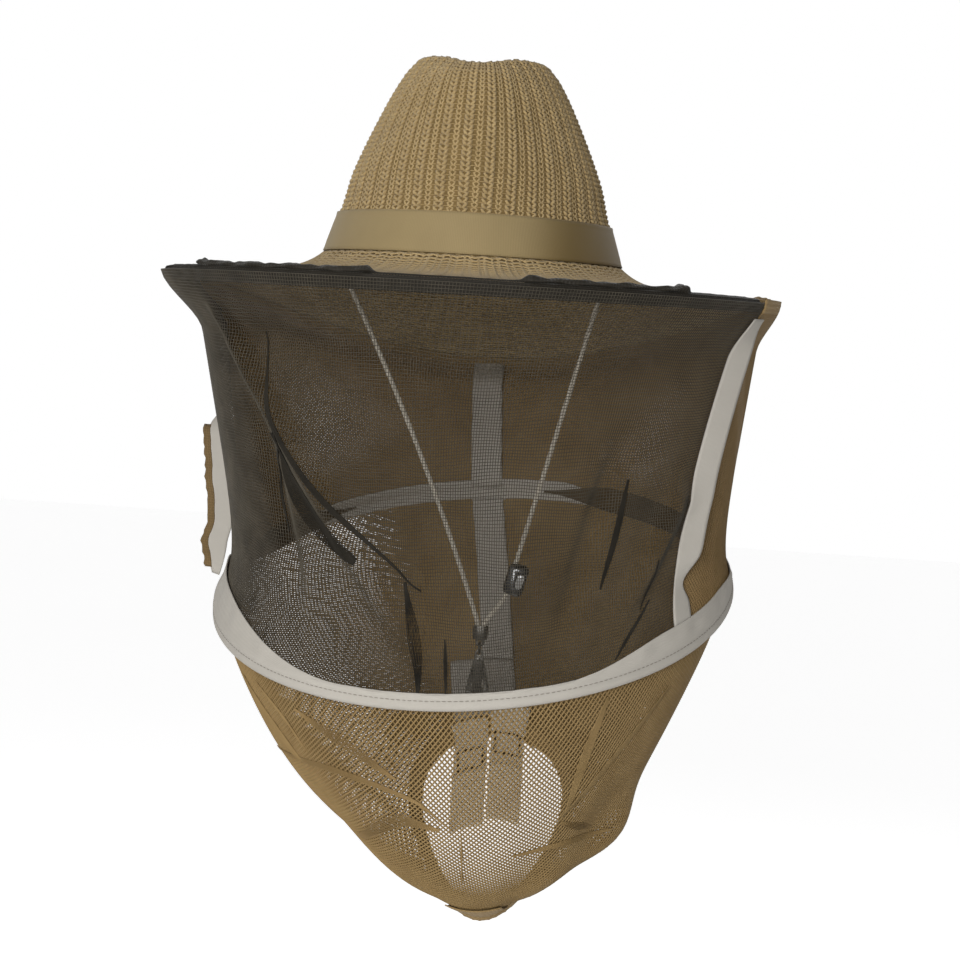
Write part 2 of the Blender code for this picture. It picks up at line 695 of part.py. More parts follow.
def build_veil(parts):
    columns, rows = FRONT_GAPS
    gaps = {(1 + 2 * k, 1 + 2 * i) for k in range(rows) for i in range(columns)}
    front = veil_panel("front_veil", SEAM_LEFT, SEAM_RIGHT, 0, gap_edges(columns, 0.0, 1.0),
                       gap_edges(rows, *FRONT_GAP_SHARES), gaps)
    finish(front, parts, material("black mesh", BLACK_MESH, 0.8))
    even = [k / REAR_COLUMNS for k in range(REAR_COLUMNS + 1)]
    rear = veil_panel("rear_veil", SEAM_RIGHT, SEAM_LEFT, 1, even, VEIL_SHARES)
    finish(rear, parts, material("khaki net", KHAKI_NET, 0.85))


def tape_rows(surface, seam, width, shares, lift, columns=3):
    """Rows of a tape that lies along a seam of a surface, with the same width all the way."""
    rows = []
    for share in shares:
        middle = seam_angle(seam, share)
        step = 0.01
        stretch = (surface(middle + step, share) - surface(middle - step, share)).length / (2 * step)
        half = width / 2 / stretch
        across = angles(columns, middle - half, middle + half, both_ends=True)
        rows.append([lifted(surface, angle, share, lift) for angle in across])
    return rows


def build_veil_tapes(parts):
    white = material("white tape", WHITE_TAPE, 0.75)
    for name, seam, width, lift in (
            ("seam_tape_left", SEAM_LEFT, SEAM_TAPE_WIDTH, TAPE_LIFT),
            ("seam_tape_right", SEAM_RIGHT, SEAM_TAPE_WIDTH, TAPE_LIFT),
            ("back_tape", CENTRE_BACK, BACK_TAPE_WIDTH, -TAPE_LIFT)):
        foot = hoop_tape_share(seam[2], SEAM_TAPE_GAP)
        shares = [share for share in VEIL_SHARES[1:] if share < foot] + [foot]
        rows = tape_rows(veil_point, seam, width, shares, lift)
        if seam is SEAM_LEFT:
            stand_out(rows, shares)
        if seam is SEAM_RIGHT:
            turn_forward(rows, shares)
        finish(loft(name, rows, False, TAPE_THICKNESS), parts, white)


def stand_out(rows, shares):
    """Turn the left tape out from the netting about its front edge, over its lower part."""
    start, end = LEFT_TAPE_LOOSE
    away = outward(SEAM_LEFT[2]) * LEFT_TAPE_REACH
    for row, share in zip(rows, shares):
        loose = smooth((share - start) / LOOSE_EASE) * smooth((end - share) / LOOSE_EASE)
        for k in range(len(row) - 1):
            row[k] = row[k].lerp(row[-1] + away * (1 - k / (len(row) - 1)), loose)


def turn_forward(rows, shares):
    """Turn the right tape about its front edge, so that it faces the front."""
    start, end = RIGHT_TAPE_LOOSE
    for row, share in zip(rows, shares):
        loose = smooth((share - start) / LOOSE_EASE) * smooth((end - share) / LOOSE_EASE)
        turn = Matrix.Rotation(-RIGHT_TAPE_TURN * loose, 3, "Z")
        hinge = row[0].copy()
        for k, point in enumerate(row):
            row[k] = hinge + turn @ (point - hinge)


# Hoop and pouch

def build_hoop(parts):
    build_wire_ring(parts, "lower_hoop", hoop_point, HOOP_WIRE_RADIUS)
    edge = [(hoop_point(angle), HOOP_NORMAL, hoop_outward(angle)) for angle in angles(RING_POINTS)]
    off_veil = NET / 2 + CLEARANCE + HOOP_TAPE_EASE + CLOTH / 2
    crest = [lifted(veil_point, angle, hoop_tape_share(angle), off_veil) for angle in angles(RING_POINTS)]
    cover = folded_wrap("hoop_tape", edge, HOOP_WIRE_RADIUS, HOOP_TAPE_OUTSIDE, HOOP_TAPE_INSIDE, CLOTH, True,
                        HOOP_TAPE_EASE, crest)
    finish(cover, parts, material("white tape", WHITE_TAPE, 0.75))


def build_pouch(parts):
    khaki = material("khaki net", KHAKI_NET, 0.85)
    places = angles(POUCH_COLUMNS)
    rows = [[pouch_top(angle, rise) for angle in places] for rise in (POUCH_LAP, 2 * MM, -3 * MM)]
    rows += [[pouch_point(angle, share) for angle in places] for share in POUCH_SHARES]
    tucked = [hem_point(angle) - pouch_to_hem(angle) * HEM_TUCK for angle in places]
    rows.append(tucked)
    finish(loft("pouch", rows, True, NET), parts, khaki)
    elastic = tube("hem_elastic", [hem_point(angle) for angle in places], HEM_ELASTIC_RADIUS, cyclic=True,
                   resolution=1)
    finish(elastic, parts, material("cord", CORD_WHITE, 0.8))
    edge = []
    for angle in places:
        wall = -pouch_to_hem(angle).normalized()
        round_hem = (hem_point(angle + 0.01) - hem_point(angle - 0.01)).normalized()
        edge.append((hem_point(angle), wall, round_hem.cross(wall).normalized()))
    casing = folded_wrap("hem_casing", edge, HEM_ELASTIC_RADIUS, HEM_CASING_HEIGHT, HEM_CASING_HEIGHT, CLOTH, True)
    finish(casing, parts, khaki)


def build_back(parts):
    """The tape and patch on the pouch's back, the straps sewn to them, and the patch in front."""
    white = material("white tape", WHITE_TAPE, 0.75)
    shares = POUCH_SHARES[1:]
    tape = tape_rows(pouch_point, CENTRE_BACK, BACK_TAPE_WIDTH, [s for s in shares if s < PATCH_TOP], -TAPE_LIFT)
    finish(loft("back_tape_lower", tape, False, TAPE_THICKNESS), parts, white)
    patch_shares = [PATCH_TOP + (1 - PATCH_TOP) * k / 3 for k in range(4)]
    patch = tape_rows(pouch_point, CENTRE_PATCH, PATCH_WIDTH, patch_shares, -TAPE_LIFT, 5)
    finish(loft("strap_patch", patch, False, TAPE_THICKNESS), parts, white)
    front_shares = [FRONT_PATCH_TOP + (1 - FRONT_PATCH_TOP) * k / 2 for k in range(3)]
    front = tape_rows(pouch_point, CENTRE_FRONT, FRONT_PATCH_WIDTH, front_shares, TAPE_LIFT, 5)
    finish(loft("front_patch", front, False, TAPE_THICKNESS), parts, material("khaki tape", KHAKI_NET, 0.8))


def strap_line(angle, drop):
    """A line along a strap: down the patch, past the hem, round a fold and up again."""
    hem = hem_point(angle)
    wall = -pouch_to_hem(angle)
    inner = wall.cross(hem_point(angle + 0.01) - hem_point(angle - 0.01)).normalized()
    if inner.dot(outward(angle)) > 0:
        inner.negate()
    off_patch = TAPE_LIFT + TAPE_THICKNESS / 2 + CLEARANCE + STRAP_THICKNESS / 2 + 0.8 * MM
    off_hem = HEM_ELASTIC_RADIUS + CLEARANCE + CLOTH + CLEARANCE + STRAP_THICKNESS / 2 + 0.8 * MM
    line = [hem + wall * (STRAP_SEWN - drop) + inner * off_patch, hem + wall * STRAP_BEND + inner * off_patch,
            hem + wall * 2 * MM + inner * off_hem]
    hang = line[-1] + Vector((0.0, -2.0 * MM, -0.3 * STRAP_LENGTH))
    foot = line[-1] + Vector((0.0, -3.0 * MM, -STRAP_LENGTH - 0.4 * drop))
    line += [hang, foot]
    middle = foot + Vector((0.0, -STRAP_FOLD_RADIUS, 0.0))
    for k in range(1, 5):
        turn = math.pi * k / 4
        line.append(middle + Vector((0.0, math.cos(turn), -math.sin(turn))) * STRAP_FOLD_RADIUS)
    line.append(line[-1] + Vector((0.0, 1.2 * MM, 0.66 * STRAP_LENGTH)))
    return line


def build_straps(parts):
    for name, offset, drop in zip(("strap_left", "strap_right"), STRAP_OFFSETS, STRAP_DROPS):
        across = [offset + side * STRAP_WIDTH / 2 for side in (-1, 0, 1)]
        back_half = HEM_HALF_WIDTH * (1 + HEM_TAPER)
        lines = [strap_line(math.pi - math.asin(place / back_half), drop) for place in across]
        rows = [list(row) for row in zip(*lines)]
        finish(loft(name, rows, False, STRAP_THICKNESS), parts, material("elastic", WHITE_TAPE, 0.8))


# Chin cord, cord lock and clip

def tab_line(side):
    """The middle line of a cord tab: down the sweatband, then in towards the cord."""
    inside = -(CROWN_WALL + 2 * CLEARANCE + BAND_EASE + SWEATBAND_THICKNESS + TAB_THICKNESS / 2
               + 0.6 * MM)
    places = [crown_point(side * math.pi / 2, height, inside) for height in (TAB_LENGTH, TAB_BEND)]
    places.append(Vector((side * CORD_TAB_REACH[side], 0.0, -CORD_TAB_DROP)))
    return places


def cord_start(side):
    """Where a cord begins on its tab, and where it leaves the tab."""
    top, bend, foot = tab_line(side)
    run = (foot - bend).normalized()
    inner = Vector((run.z, 0.0, -run.x)) * side
    off = inner * (TAB_THICKNESS / 2 + CLEARANCE + CORD_RADIUS + 0.2 * MM)
    return bend + run * 4 * MM + off, foot + off


def cord_end(side):
    """The two ends of the straight run inside the crimp."""
    mouth = CRIMP_TOP + Vector((side * CRIMP_CORD_SPREAD, 0.0, 1.5 * MM))
    return mouth, mouth - Vector((0, 0, CRIMP_HEIGHT - 1 * MM))


def left_cord_line():
    start, leaves = cord_start(-1)
    mouth, end = cord_end(-1)
    line = [start]
    for k in range(CORD_POINTS):
        share = k / CORD_POINTS
        line.append(leaves.lerp(mouth, share) + Vector((4 * CORD_BOW * share * (1 - share), 0, 0)))
    return line + [mouth, end]


def right_cord_line():
    start, leaves = cord_start(1)
    mouth, end = cord_end(1)
    run = (LOCK_PLACE - leaves).normalized()
    return [start, leaves, LOCK_PLACE + run * LOCK_BEND, mouth, end]


def build_cords(parts):
    cloth = material("white tape", WHITE_TAPE, 0.75)
    white = material("cord", CORD_WHITE, 0.8)
    for label, side, line in (("left", -1, left_cord_line()), ("right", 1, right_cord_line())):
        rows = [[point + Vector((0, edge * TAB_WIDTH / 2, 0)) for edge in (-1, 1)] for point in tab_line(side)]
        finish(loft("cord_tab_" + label, rows, False, TAB_THICKNESS), parts, cloth)
        finish(tube("chin_cord_" + label, line, CORD_RADIUS, resolution=2), parts, white)


def stadium(half_length, half_width, steps=6):
    straight = half_length - half_width
    outline = []
    for middle, start in ((straight, -0.5), (-straight, 0.5)):
        for k in range(steps + 1):
            turn = math.pi * (start + k / steps)
            outline.append((middle + half_width * math.cos(turn), half_width * math.sin(turn)))
    return outline


def circle(x, y, radius, steps=14):
    return [(x + radius * math.cos(2 * math.pi * k / steps), y + radius * math.sin(2 * math.pi * k / steps))
            for k in range(steps)]


EYE = CRIMP_TOP - Vector((0, 0, EYE_DROP))
SIDEWAYS = Matrix.Rotation(math.radians(90), 4, "Y")
FORWARDS = Matrix.Rotation(math.radians(90), 4, "X")


def build_crimp(parts):
    """The flattened ferrule that takes both cords, with an eye below."""
    inner_length = CRIMP_CORD_SPREAD + CORD_RADIUS + CLEARANCE
    inner_width = CORD_RADIUS + CLEARANCE
    middle = Matrix.Translation(CRIMP_TOP - Vector((0, 0, CRIMP_HEIGHT / 2)))
    body = plate("cord_crimp", [stadium(inner_length + CRIMP_WALL, inner_width + CRIMP_WALL)], CRIMP_HEIGHT, middle)
    pocket = plate("crimp_pocket", [stadium(inner_length, inner_width)], CRIMP_HEIGHT,
                   Matrix.Translation(CRIMP_TOP + Vector((0, 0, CRIMP_FLOOR - CRIMP_HEIGHT / 2))))
    at_eye = Matrix.Translation(EYE) @ FORWARDS
    join(body, cylinder("crimp_tab", EYE_TAB_RADIUS, EYE_TAB_THICKNESS, at_eye))
    cut(body, pocket, cylinder("crimp_eye", EYE_HOLE_RADIUS, 4 * EYE_TAB_THICKNESS, at_eye))
    finish(body, parts, material("nickel", STEEL, 0.25, 1.0))


PIVOT = EYE + Vector((0, -(CLIP_SHEET / 2 + CLEARANCE + CLIP_KNUCKLE_RADIUS), -CLIP_PIVOT_DROP))


def clip_half_width(drop):
    """Half the plate's width at a drop below the eye."""
    start = CLIP_HOLE_DROP + 0.4 * CLIP_TOP_RADIUS
    share = (drop - start) / (CLIP_LENGTH - 2 * MM - start)
    return CLIP_TOP_RADIUS * 0.94 + (CLIP_FOOT_HALF_WIDTH - CLIP_TOP_RADIUS * 0.94) * share


def build_clip(parts):
    nickel = material("nickel", STEEL, 0.25, 1.0)
    ring = [EYE + Vector((0, RING_RADIUS * math.sin(a), -RING_RADIUS + RING_RADIUS * math.cos(a)))
            for a in angles(20)]
    finish(tube("clip_ring", ring, RING_WIRE_RADIUS, cyclic=True), parts, nickel)
    finish(clip_plate(), parts, nickel)
    pin = cylinder("clip_pin", CLIP_PIN_RADIUS, 2 * (clip_half_width(CLIP_PIVOT_DROP) + 0.4 * MM),
                   Matrix.Translation(PIVOT) @ SIDEWAYS, 14)
    finish(pin, parts, nickel)
    finish(clip_lever(), parts, nickel)
    finish(clip_spring(), parts, nickel)


def clip_plate():
    """The A-shaped back of the clip, with ears for the pin and a lip for its jaw."""
    sweep = [math.radians(200 - 220 * k / 8) for k in range(9)]
    outline = [(CLIP_TOP_RADIUS * math.cos(a), -CLIP_HOLE_DROP + CLIP_TOP_RADIUS * math.sin(a)) for a in sweep]
    foot = CLIP_FOOT_HALF_WIDTH
    outline += [(foot, -CLIP_LENGTH + 2 * MM), (foot, -CLIP_LENGTH), (-foot, -CLIP_LENGTH),
                (-foot, -CLIP_LENGTH + 2 * MM)]
    low = CLIP_LENGTH - CLIP_CROSSBAR
    top_half = clip_half_width(CLIP_WINDOW_TOP) - CLIP_LEG_WIDTH
    low_half = clip_half_width(low) - CLIP_LEG_WIDTH
    window = [(-top_half, -CLIP_WINDOW_TOP), (top_half, -CLIP_WINDOW_TOP), (low_half, -low), (-low_half, -low)]
    hole = circle(0.0, -CLIP_HOLE_DROP, EYE_HOLE_RADIUS)
    back = plate("clip_plate", [outline, window, hole], CLIP_SHEET, Matrix.Translation(EYE) @ FORWARDS)
    ear_reach = -PIVOT.y + 1.9 * MM
    wide = clip_half_width(CLIP_PIVOT_DROP)
    additions = []
    for side in (-1, 1):
        middle = EYE + Vector((side * (wide - CLIP_SHEET / 2), -ear_reach / 2, -CLIP_PIVOT_DROP))
        additions.append(block("ear", (CLIP_SHEET, ear_reach, 4 * MM), Matrix.Translation(middle)))
    lip_middle = EYE + Vector((0, -CLIP_LIP / 2, -CLIP_LENGTH + CLIP_SHEET / 2))
    additions.append(block("lip", (2 * foot, CLIP_LIP, CLIP_SHEET), Matrix.Translation(lip_middle)))
    join(back, *additions)
    cut(back, cylinder("ear_holes", CLIP_PIN_RADIUS + CLEARANCE, 4 * wide, Matrix.Translation(PIVOT) @ SIDEWAYS))
    return back


def clip_lever():
    """The sprung front of the clip: a thumb tab above the pin and a jaw below it."""
    knuckle = CLIP_KNUCKLE_RADIUS
    foot_drop = CLIP_LENGTH - CLIP_PIVOT_DROP - CLIP_SHEET / 2
    jaw_back = -CLIP_LIP - CLEARANCE - PIVOT.y
    outline = [(-knuckle - 1.2 * MM, CLIP_THUMB_RISE), (-knuckle, 0.5 * MM), (-knuckle, -0.5 * MM),
               (jaw_back, -foot_drop), (jaw_back - CLIP_SHEET, -foot_drop),
               (-knuckle - CLIP_SHEET, -0.5 * MM), (-knuckle - CLIP_SHEET, 0.5 * MM),
               (-knuckle - 1.2 * MM - CLIP_SHEET, CLIP_THUMB_RISE)]
    edge_on = Matrix.Translation(PIVOT) @ frame_of(Vector(), Vector((0, 1, 0)), Vector((0, 0, 1)), Vector((1, 0, 0)))
    lever = plate("clip_lever", [outline], 2 * CLIP_LEVER_HALF_WIDTH, edge_on)
    cheeks = []
    for side in (-1, 1):
        middle = PIVOT + Vector((side * (CLIP_LEVER_HALF_WIDTH - 0.45 * MM), -0.45 * MM, 0))
        cheeks.append(block("cheek", (0.9 * MM, 3.9 * MM, 3 * MM), Matrix.Translation(middle)))
    join(lever, *cheeks)
    cut(lever, cylinder("lever_hole", CLIP_PIN_RADIUS + CLEARANCE, 3 * CLIP_LEVER_HALF_WIDTH,
                        Matrix.Translation(PIVOT) @ SIDEWAYS))
    return lever


def coil(turns, radius, pitch, start):
    """Places of a coil along X: sideways, and the two directions across."""
    count = int(turns * CURL_POINTS)
    places = []
    for k in range(count + 1):
        turn = start - 2 * math.pi * k / CURL_POINTS
        places.append((pitch * (k / CURL_POINTS - turns / 2), radius * math.cos(turn), radius * math.sin(turn)))
    return places


def report_gap(name, points, wire):
    """Print the least gap between one turn of a coil and the next."""
    least = min((a - b).length for i, a in enumerate(points) for b in points[i + CURL_POINTS // 2:])
    print(f"{name}: least gap {1000 * (least - 2 * wire):.2f} mm")


def clip_spring():
    turns = CLIP_SPRING_TURNS + 0.5
    points = [PIVOT + Vector(place) for place in coil(turns, CLIP_SPRING_RADIUS, CLIP_SPRING_PITCH, math.pi)]
    report_gap("clip_spring", points, CLIP_SPRING_WIRE)
    points.insert(0, points[0] + Vector((0, 0.8 * MM, -CLIP_SPRING_LEG)))
    points.append(points[-1] + Vector((0, 0.2 * MM, -CLIP_SPRING_LEG)))
    return tube("clip_spring", points, CLIP_SPRING_WIRE, resolution=1)


def lock_frame():
    """The cord lock's frame: X to the right, -Y to the front, Z up the cord."""
    along = (cord_start(1)[1] - LOCK_PLACE).normalized()
    back = Vector((0, 1, 0))
    return frame_of(LOCK_PLACE, back.cross(along).normalized(), back, along)


def build_lock(parts):
    frame = lock_frame()
    body = block("cord_lock_body", (LOCK_WIDTH, LOCK_DEPTH, LOCK_LENGTH),
                 frame @ Matrix.Translation((LOCK_BORE_OFFSET, 0, 0)))
    rounded(body, LOCK_ROUND, 3)
    bore = cylinder("lock_bore", LOCK_BORE_RADIUS, 2 * LOCK_LENGTH, frame, 16)
    lengthways = frame_of(Vector(), Vector((0, 0, 1)), Vector((1, 0, 0)), Vector((0, 1, 0)))
    button_x = LOCK_BORE_OFFSET + BUTTON_OFFSET
    face = -LOCK_DEPTH / 2
    deep = BUTTON_POCKET_DEPTH
    pocket = plate("lock_pocket", [stadium(BUTTON_LENGTH / 2 + CLEARANCE, BUTTON_WIDTH / 2 + CLEARANCE)], 2 * deep,
                   frame @ Matrix.Translation((button_x, face, 0)) @ lengthways)
    cut(body, bore, pocket)
    finish(body, parts, material("black plastic", BLACK_PLASTIC, 0.3))
    button_y = face - BUTTON_PROUD + BUTTON_HEIGHT / 2
    button = plate("cord_lock_button", [stadium(BUTTON_LENGTH / 2, BUTTON_WIDTH / 2)], BUTTON_HEIGHT,
                   frame @ Matrix.Translation((button_x, button_y, 0)) @ lengthways)
    rounded(button, BUTTON_ROUND, 2).modifiers[-1].limit_method = "ANGLE"
    finish(button, parts, material("grey plastic", GREY_PLASTIC, 0.35))
    middle_y = face + (BUTTON_HEIGHT - BUTTON_PROUD + BUTTON_POCKET_DEPTH) / 2
    turned = frame @ Matrix.Translation((button_x, middle_y, 0)) @ Matrix.Rotation(math.radians(90), 4, "Z")
    points = [turned @ Vector(place) for place in coil(LOCK_SPRING_TURNS, LOCK_SPRING_RADIUS, LOCK_SPRING_PITCH, 0.0)]
    report_gap("cord_lock_spring", points, LOCK_SPRING_WIRE)
    finish(tube("cord_lock_spring", points, LOCK_SPRING_WIRE, resolution=1), parts,
           material("steel wire", STEEL, 0.35, 1.0))


def carry(parts, name, place, *children):
    """An empty on a joint's axis that carries the pieces which move about it."""
    empty = bpy.data.objects.new(name, None)
    parts.objects.link(empty)
    empty.location = place
    bpy.context.view_layer.update()
    for child in children:
        obj = bpy.data.objects[child]
        obj.parent = empty
        obj.matrix_parent_inverse = empty.matrix_world.inverted()


def set_joints(parts):
    carry(parts, "veil_lift", HOOP_CENTRE, "lower_hoop", "hoop_tape", "pouch", "hem_casing", "hem_elastic",
          "back_tape_lower", "strap_patch", "front_patch", "strap_left", "strap_right")
    carry(parts, "clip_swing", EYE, "clip_ring", "clip_plate", "clip_pin", "clip_spring")
    carry(parts, "clip_jaw", PIVOT, "clip_lever")
    lock = lock_frame()
    carry(parts, "lock_slide", lock.translation, "cord_lock_body", "cord_lock_spring")
    carry(parts, "lock_press", lock @ Vector((LOCK_BORE_OFFSET + BUTTON_OFFSET, 0, 0)), "cord_lock_button")


clear_scene()
PARTS = new_collection(COLLECTION)
CUTTERS = new_collection("cutters")
build_crown(PARTS)
build_bands(PARTS)
build_brim(PARTS)
build_wire_ring(PARTS, "brim_wire", brim_wire_place, BRIM_WIRE_RADIUS)
build_top_hems(PARTS)
build_veil(PARTS)
build_veil_tapes(PARTS)
build_hoop(PARTS)
build_pouch(PARTS)
build_back(PARTS)
build_straps(PARTS)
build_cords(PARTS)
build_crimp(PARTS)
build_clip(PARTS)
build_lock(PARTS)
set_joints(PARTS)
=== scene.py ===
"""Looks of the beekeeping veil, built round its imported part.

Metres, +Z up, in the part's own frame: the origin is the middle of the head opening and the wearer looks
along -Y. Angles round the hat run from 0 at the front, through +90 degrees at +X, to 180 at the back.
Walls are surfaces of an angle and a share: 0 at their top edge, 1 at their lower edge.
Netting, yarn, cord and thread are lines laid on those surfaces, which Geometry Nodes turn into strands.
"""

import json
import math

import bmesh
import bpy
import numpy as np
from mathutils import Matrix, Vector

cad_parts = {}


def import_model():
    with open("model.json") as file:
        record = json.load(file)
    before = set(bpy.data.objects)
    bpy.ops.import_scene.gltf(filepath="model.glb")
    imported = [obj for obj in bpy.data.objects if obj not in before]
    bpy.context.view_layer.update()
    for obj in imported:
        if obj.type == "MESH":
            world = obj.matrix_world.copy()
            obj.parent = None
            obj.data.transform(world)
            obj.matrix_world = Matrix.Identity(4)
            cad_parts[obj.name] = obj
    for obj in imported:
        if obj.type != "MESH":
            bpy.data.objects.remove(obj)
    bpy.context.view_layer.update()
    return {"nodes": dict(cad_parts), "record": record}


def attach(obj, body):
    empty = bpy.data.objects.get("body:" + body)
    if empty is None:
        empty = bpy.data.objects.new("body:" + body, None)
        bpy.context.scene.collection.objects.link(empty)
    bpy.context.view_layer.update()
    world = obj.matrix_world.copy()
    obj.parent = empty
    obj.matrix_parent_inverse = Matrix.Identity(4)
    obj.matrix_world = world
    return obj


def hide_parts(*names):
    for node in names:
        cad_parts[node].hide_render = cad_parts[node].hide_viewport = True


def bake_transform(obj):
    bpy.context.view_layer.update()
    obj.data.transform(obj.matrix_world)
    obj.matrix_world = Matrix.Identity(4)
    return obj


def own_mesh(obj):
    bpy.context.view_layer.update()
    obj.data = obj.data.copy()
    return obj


MM = 0.001
TURN = 2 * math.pi

# Fits and thicknesses of the part
CLEARANCE = 0.4 * MM
CLOTH = 0.7 * MM
NET = 0.8 * MM
TAPE_THICKNESS = 0.7 * MM

# Crown: height above the brim, half width, half length in front and behind
CROWN_STATIONS = (
    (0.000, 0.0850, 0.1015, 0.1015),
    (0.012, 0.0836, 0.1005, 0.1008),
    (0.024, 0.0800, 0.0978, 0.0988),
    (0.038, 0.0754, 0.0938, 0.0962),
    (0.058, 0.0700, 0.0890, 0.0926),
    (0.092, 0.0552, 0.0778, 0.0842),
    (0.113, 0.0440, 0.0686, 0.0746),
    (0.1222, 0.0366, 0.0592, 0.0652),
)
CROWN_HEIGHT = CROWN_STATIONS[-1][0]
CROWN_WALL = 2.2 * MM
CROWN_DENT = 11 * MM            # the hollow of the top
CREASE_DEPTH = 6.5 * MM         # how far the crease cuts the rim, in front and behind
CREASE_SPREAD = 0.66
PINCH_DEPTH = 7 * MM            # the two dents beside the front of the crown
PINCH_ANGLE = math.radians(38)
PINCH_SPREAD = math.radians(24)
CROWN_SHELL = 1.0 * MM          # thickness under the knit
SWEATBAND_FOOT = 1 * MM
SWEATBAND_HEIGHT = 30 * MM
SWEATBAND_THICKNESS = 1.6 * MM
HATBAND_FOOT = 11.5 * MM
HATBAND_WIDTH = 22 * MM
HATBAND_THICKNESS = 0.9 * MM
RIBBON_DARKENS = (0.030, 0.062)  # between these places to the right
HATBAND_BEAD = 0.35 * MM        # the woven edges stand out by this
BEAD_SPREAD = 0.05              # as a share of the band's width
BAND_EASE = 0.7 * MM            # room for the crown's curve behind the bands

# Brim
BRIM_HALF_WIDTH = 170.5 * MM
BRIM_HALF_LENGTH = 184 * MM
BRIM_THICKNESS = 2.4 * MM
BRIM_SHELL = 0.9 * MM           # thickness under the knit
BRIM_EDGE_DROP = 4.5 * MM       # edge below the head opening, in front and at the sides
BRIM_REAR_DIP = 45 * MM         # further drop at the back, where the short rear panel pulls
BRIM_ROOT_RISE = 10 * MM        # the brim turns up where it meets the crown
BRIM_ROOT_CURVE = 7
BRIM_WIRE_RADIUS = 1.1 * MM

# Netting folded over the brim's edge
TOP_HEM_ABOVE = 12 * MM         # how far it lies on the brim
TOP_HEM_BELOW = 6 * MM
FRONT_ROLL = 2.0 * MM           # radius of the rolled edge
REAR_ROLL = 1.0 * MM
# Places along it in degrees: its knots, where it is one layer of netting, and where it isn't rolled
HEM_KNOTS = (-51, -13, 14.5, 44)
HEM_WINDOW = (-13, 14.5)
HEM_FLATS = ((-120, -51), HEM_WINDOW, (44, 80))
REAR_KNOTS = (110, 180, 230)
WINDOW_LINED = 0.55             # share of the fold from which one layer is lined

# Lower hoop and its tape
HOOP_RADIUS = 148 * MM
HOOP_CENTRE = np.array((0.011, 0.000, -0.1785))
HOOP_PITCH = math.radians(16.5)
HOOP_ROLL = math.radians(-4.9)
HOOP_WIRE_RADIUS = 1.5 * MM
HOOP_TAPE_OUTSIDE = 5.5 * MM    # height above the wire, where the netting leaves it
HOOP_TAPE_INSIDE = 5 * MM
HOOP_TAPE_EASE = 0.6 * MM       # room beside the netting in its fold
HOOP_TAPE_REACH = 1.2 * MM      # how far its outer side goes on up the netting
# Where it goes further up the netting: where that starts, is full, starts to end and ends, and how far
HOOP_TAPE_RISES = (
    (math.radians(-108), math.radians(-86), math.radians(-72), math.radians(-24), 18 * MM),
    (math.radians(22), math.radians(50), math.radians(71), math.radians(96), 9.5 * MM),
)
HOOP_TAPE_BEHIND = np.radians((148, 232))   # where it shows inside, above the hoop
HOOP_TAPE_BACK = (0.5 * MM, 6.5 * MM)       # how far up it goes inside, and further there
# The netting's own seam, inside on both sides of that, coloured dark brown as painted shade
HOOP_SEAM = 8 * MM
HOOP_SEAM_ENDS = (math.radians(80), math.radians(262))
HOOP_SEAM_LAP = 0.3             # angle by which it goes on behind the tape

# Veil between the brim and the hoop, with its seams at the brim, half way down and at the hoop
SEAM_LEFT = np.radians((-105, -97, -89))
SEAM_RIGHT = np.radians((68, 57, 54))
CENTRE_FRONT = np.zeros(3)
CENTRE_BACK = np.full(3, math.pi)
CENTRE_PATCH = math.pi + np.array((0.0, 0.07, 0.15))
VEIL_HEM_GAP = 1 * MM
VEIL_WAIST = 13.5 * MM          # how far the veil falls in below the brim
VEIL_WAIST_SKEW = 4.5 * MM      # more of it on the left
VEIL_WAIST_REACH = 0.17         # share of the height over which it falls in
VEIL_WAIST_CURVE = 8            # how late it comes out again to the hoop
# Folds of the slack front: angle in degrees and share at both ends, width and depth
FRONT_FOLDS = (
    (-50, 0.12, -10, 0.86, 9 * MM, 9 * MM),
    (-44, 0.38, -38, 0.78, 7 * MM, -6 * MM),
    (34, 0.42, 22, 0.92, 8 * MM, -8 * MM),
    (50, 0.58, 38, 0.84, 9 * MM, 7 * MM),
    (-7, 0.66, -8, 0.98, 7 * MM, 7 * MM),
)
FOLD_LEAD = 0.12                # shares by which a fold starts early, ends late and fades
FOLD_TRAIL = 0.1
FOLD_FADE = 0.2
SEAM_TAPE_WIDTH = 15 * MM
SEAM_TAPE_TOP = 0.045           # share at which the seams' tapes begin
BACK_TAPE_WIDTH = 20 * MM
TAPE_LIFT = 1.7 * MM            # tape's middle above the netting's middle
LOOSE_EASE = 0.12               # share of the height over which a tape comes loose
LEFT_TAPE_LOOSE = (0.40, 1.04)  # shares between which the left tape stands out
LEFT_TAPE_REACH = 11.6 * MM
SELVAGE = 3.6 * MM              # raw edge of the netting past it
RIGHT_TAPE_LOOSE = (0.05, 0.86)  # shares between which the right tape turns to the front
RIGHT_TAPE_TURN = math.radians(28)

# Pouch and hem
HEM_CENTRE = np.array((0.029, 0.000, -0.315))
HEM_HALF_WIDTH = 42 * MM
HEM_HALF_LENGTH = 66 * MM
HEM_TAPER = 0.34                # narrower in front by this share, wider behind
HEM_PITCH = math.radians(39)
HEM_INSLOPE = 0.5               # the wall's run inwards for its fall at the hem
HEM_ELASTIC_RADIUS = 1.6 * MM
HEM_CASING_HEIGHT = 9 * MM
CASING_GAP = 1.5 * MM           # between the pouch's wall and the casing
POUCH_LAP = 3 * MM              # how far below the wire its wall begins
POUCH_BULGE = 13.2 * MM
POUCH_BULGE_SKEW = 3.5 * MM     # more of it on the left
POUCH_CORNER = (math.radians(52), 0.74)   # a soft corner on the right: angle and share
POUCH_CORNER_SPREAD = (0.4, 0.16)
POUCH_CORNER_DEPTH = 16 * MM
POUCH_FRONT_SAG = 22 * MM
POUCH_GATHERS = 12
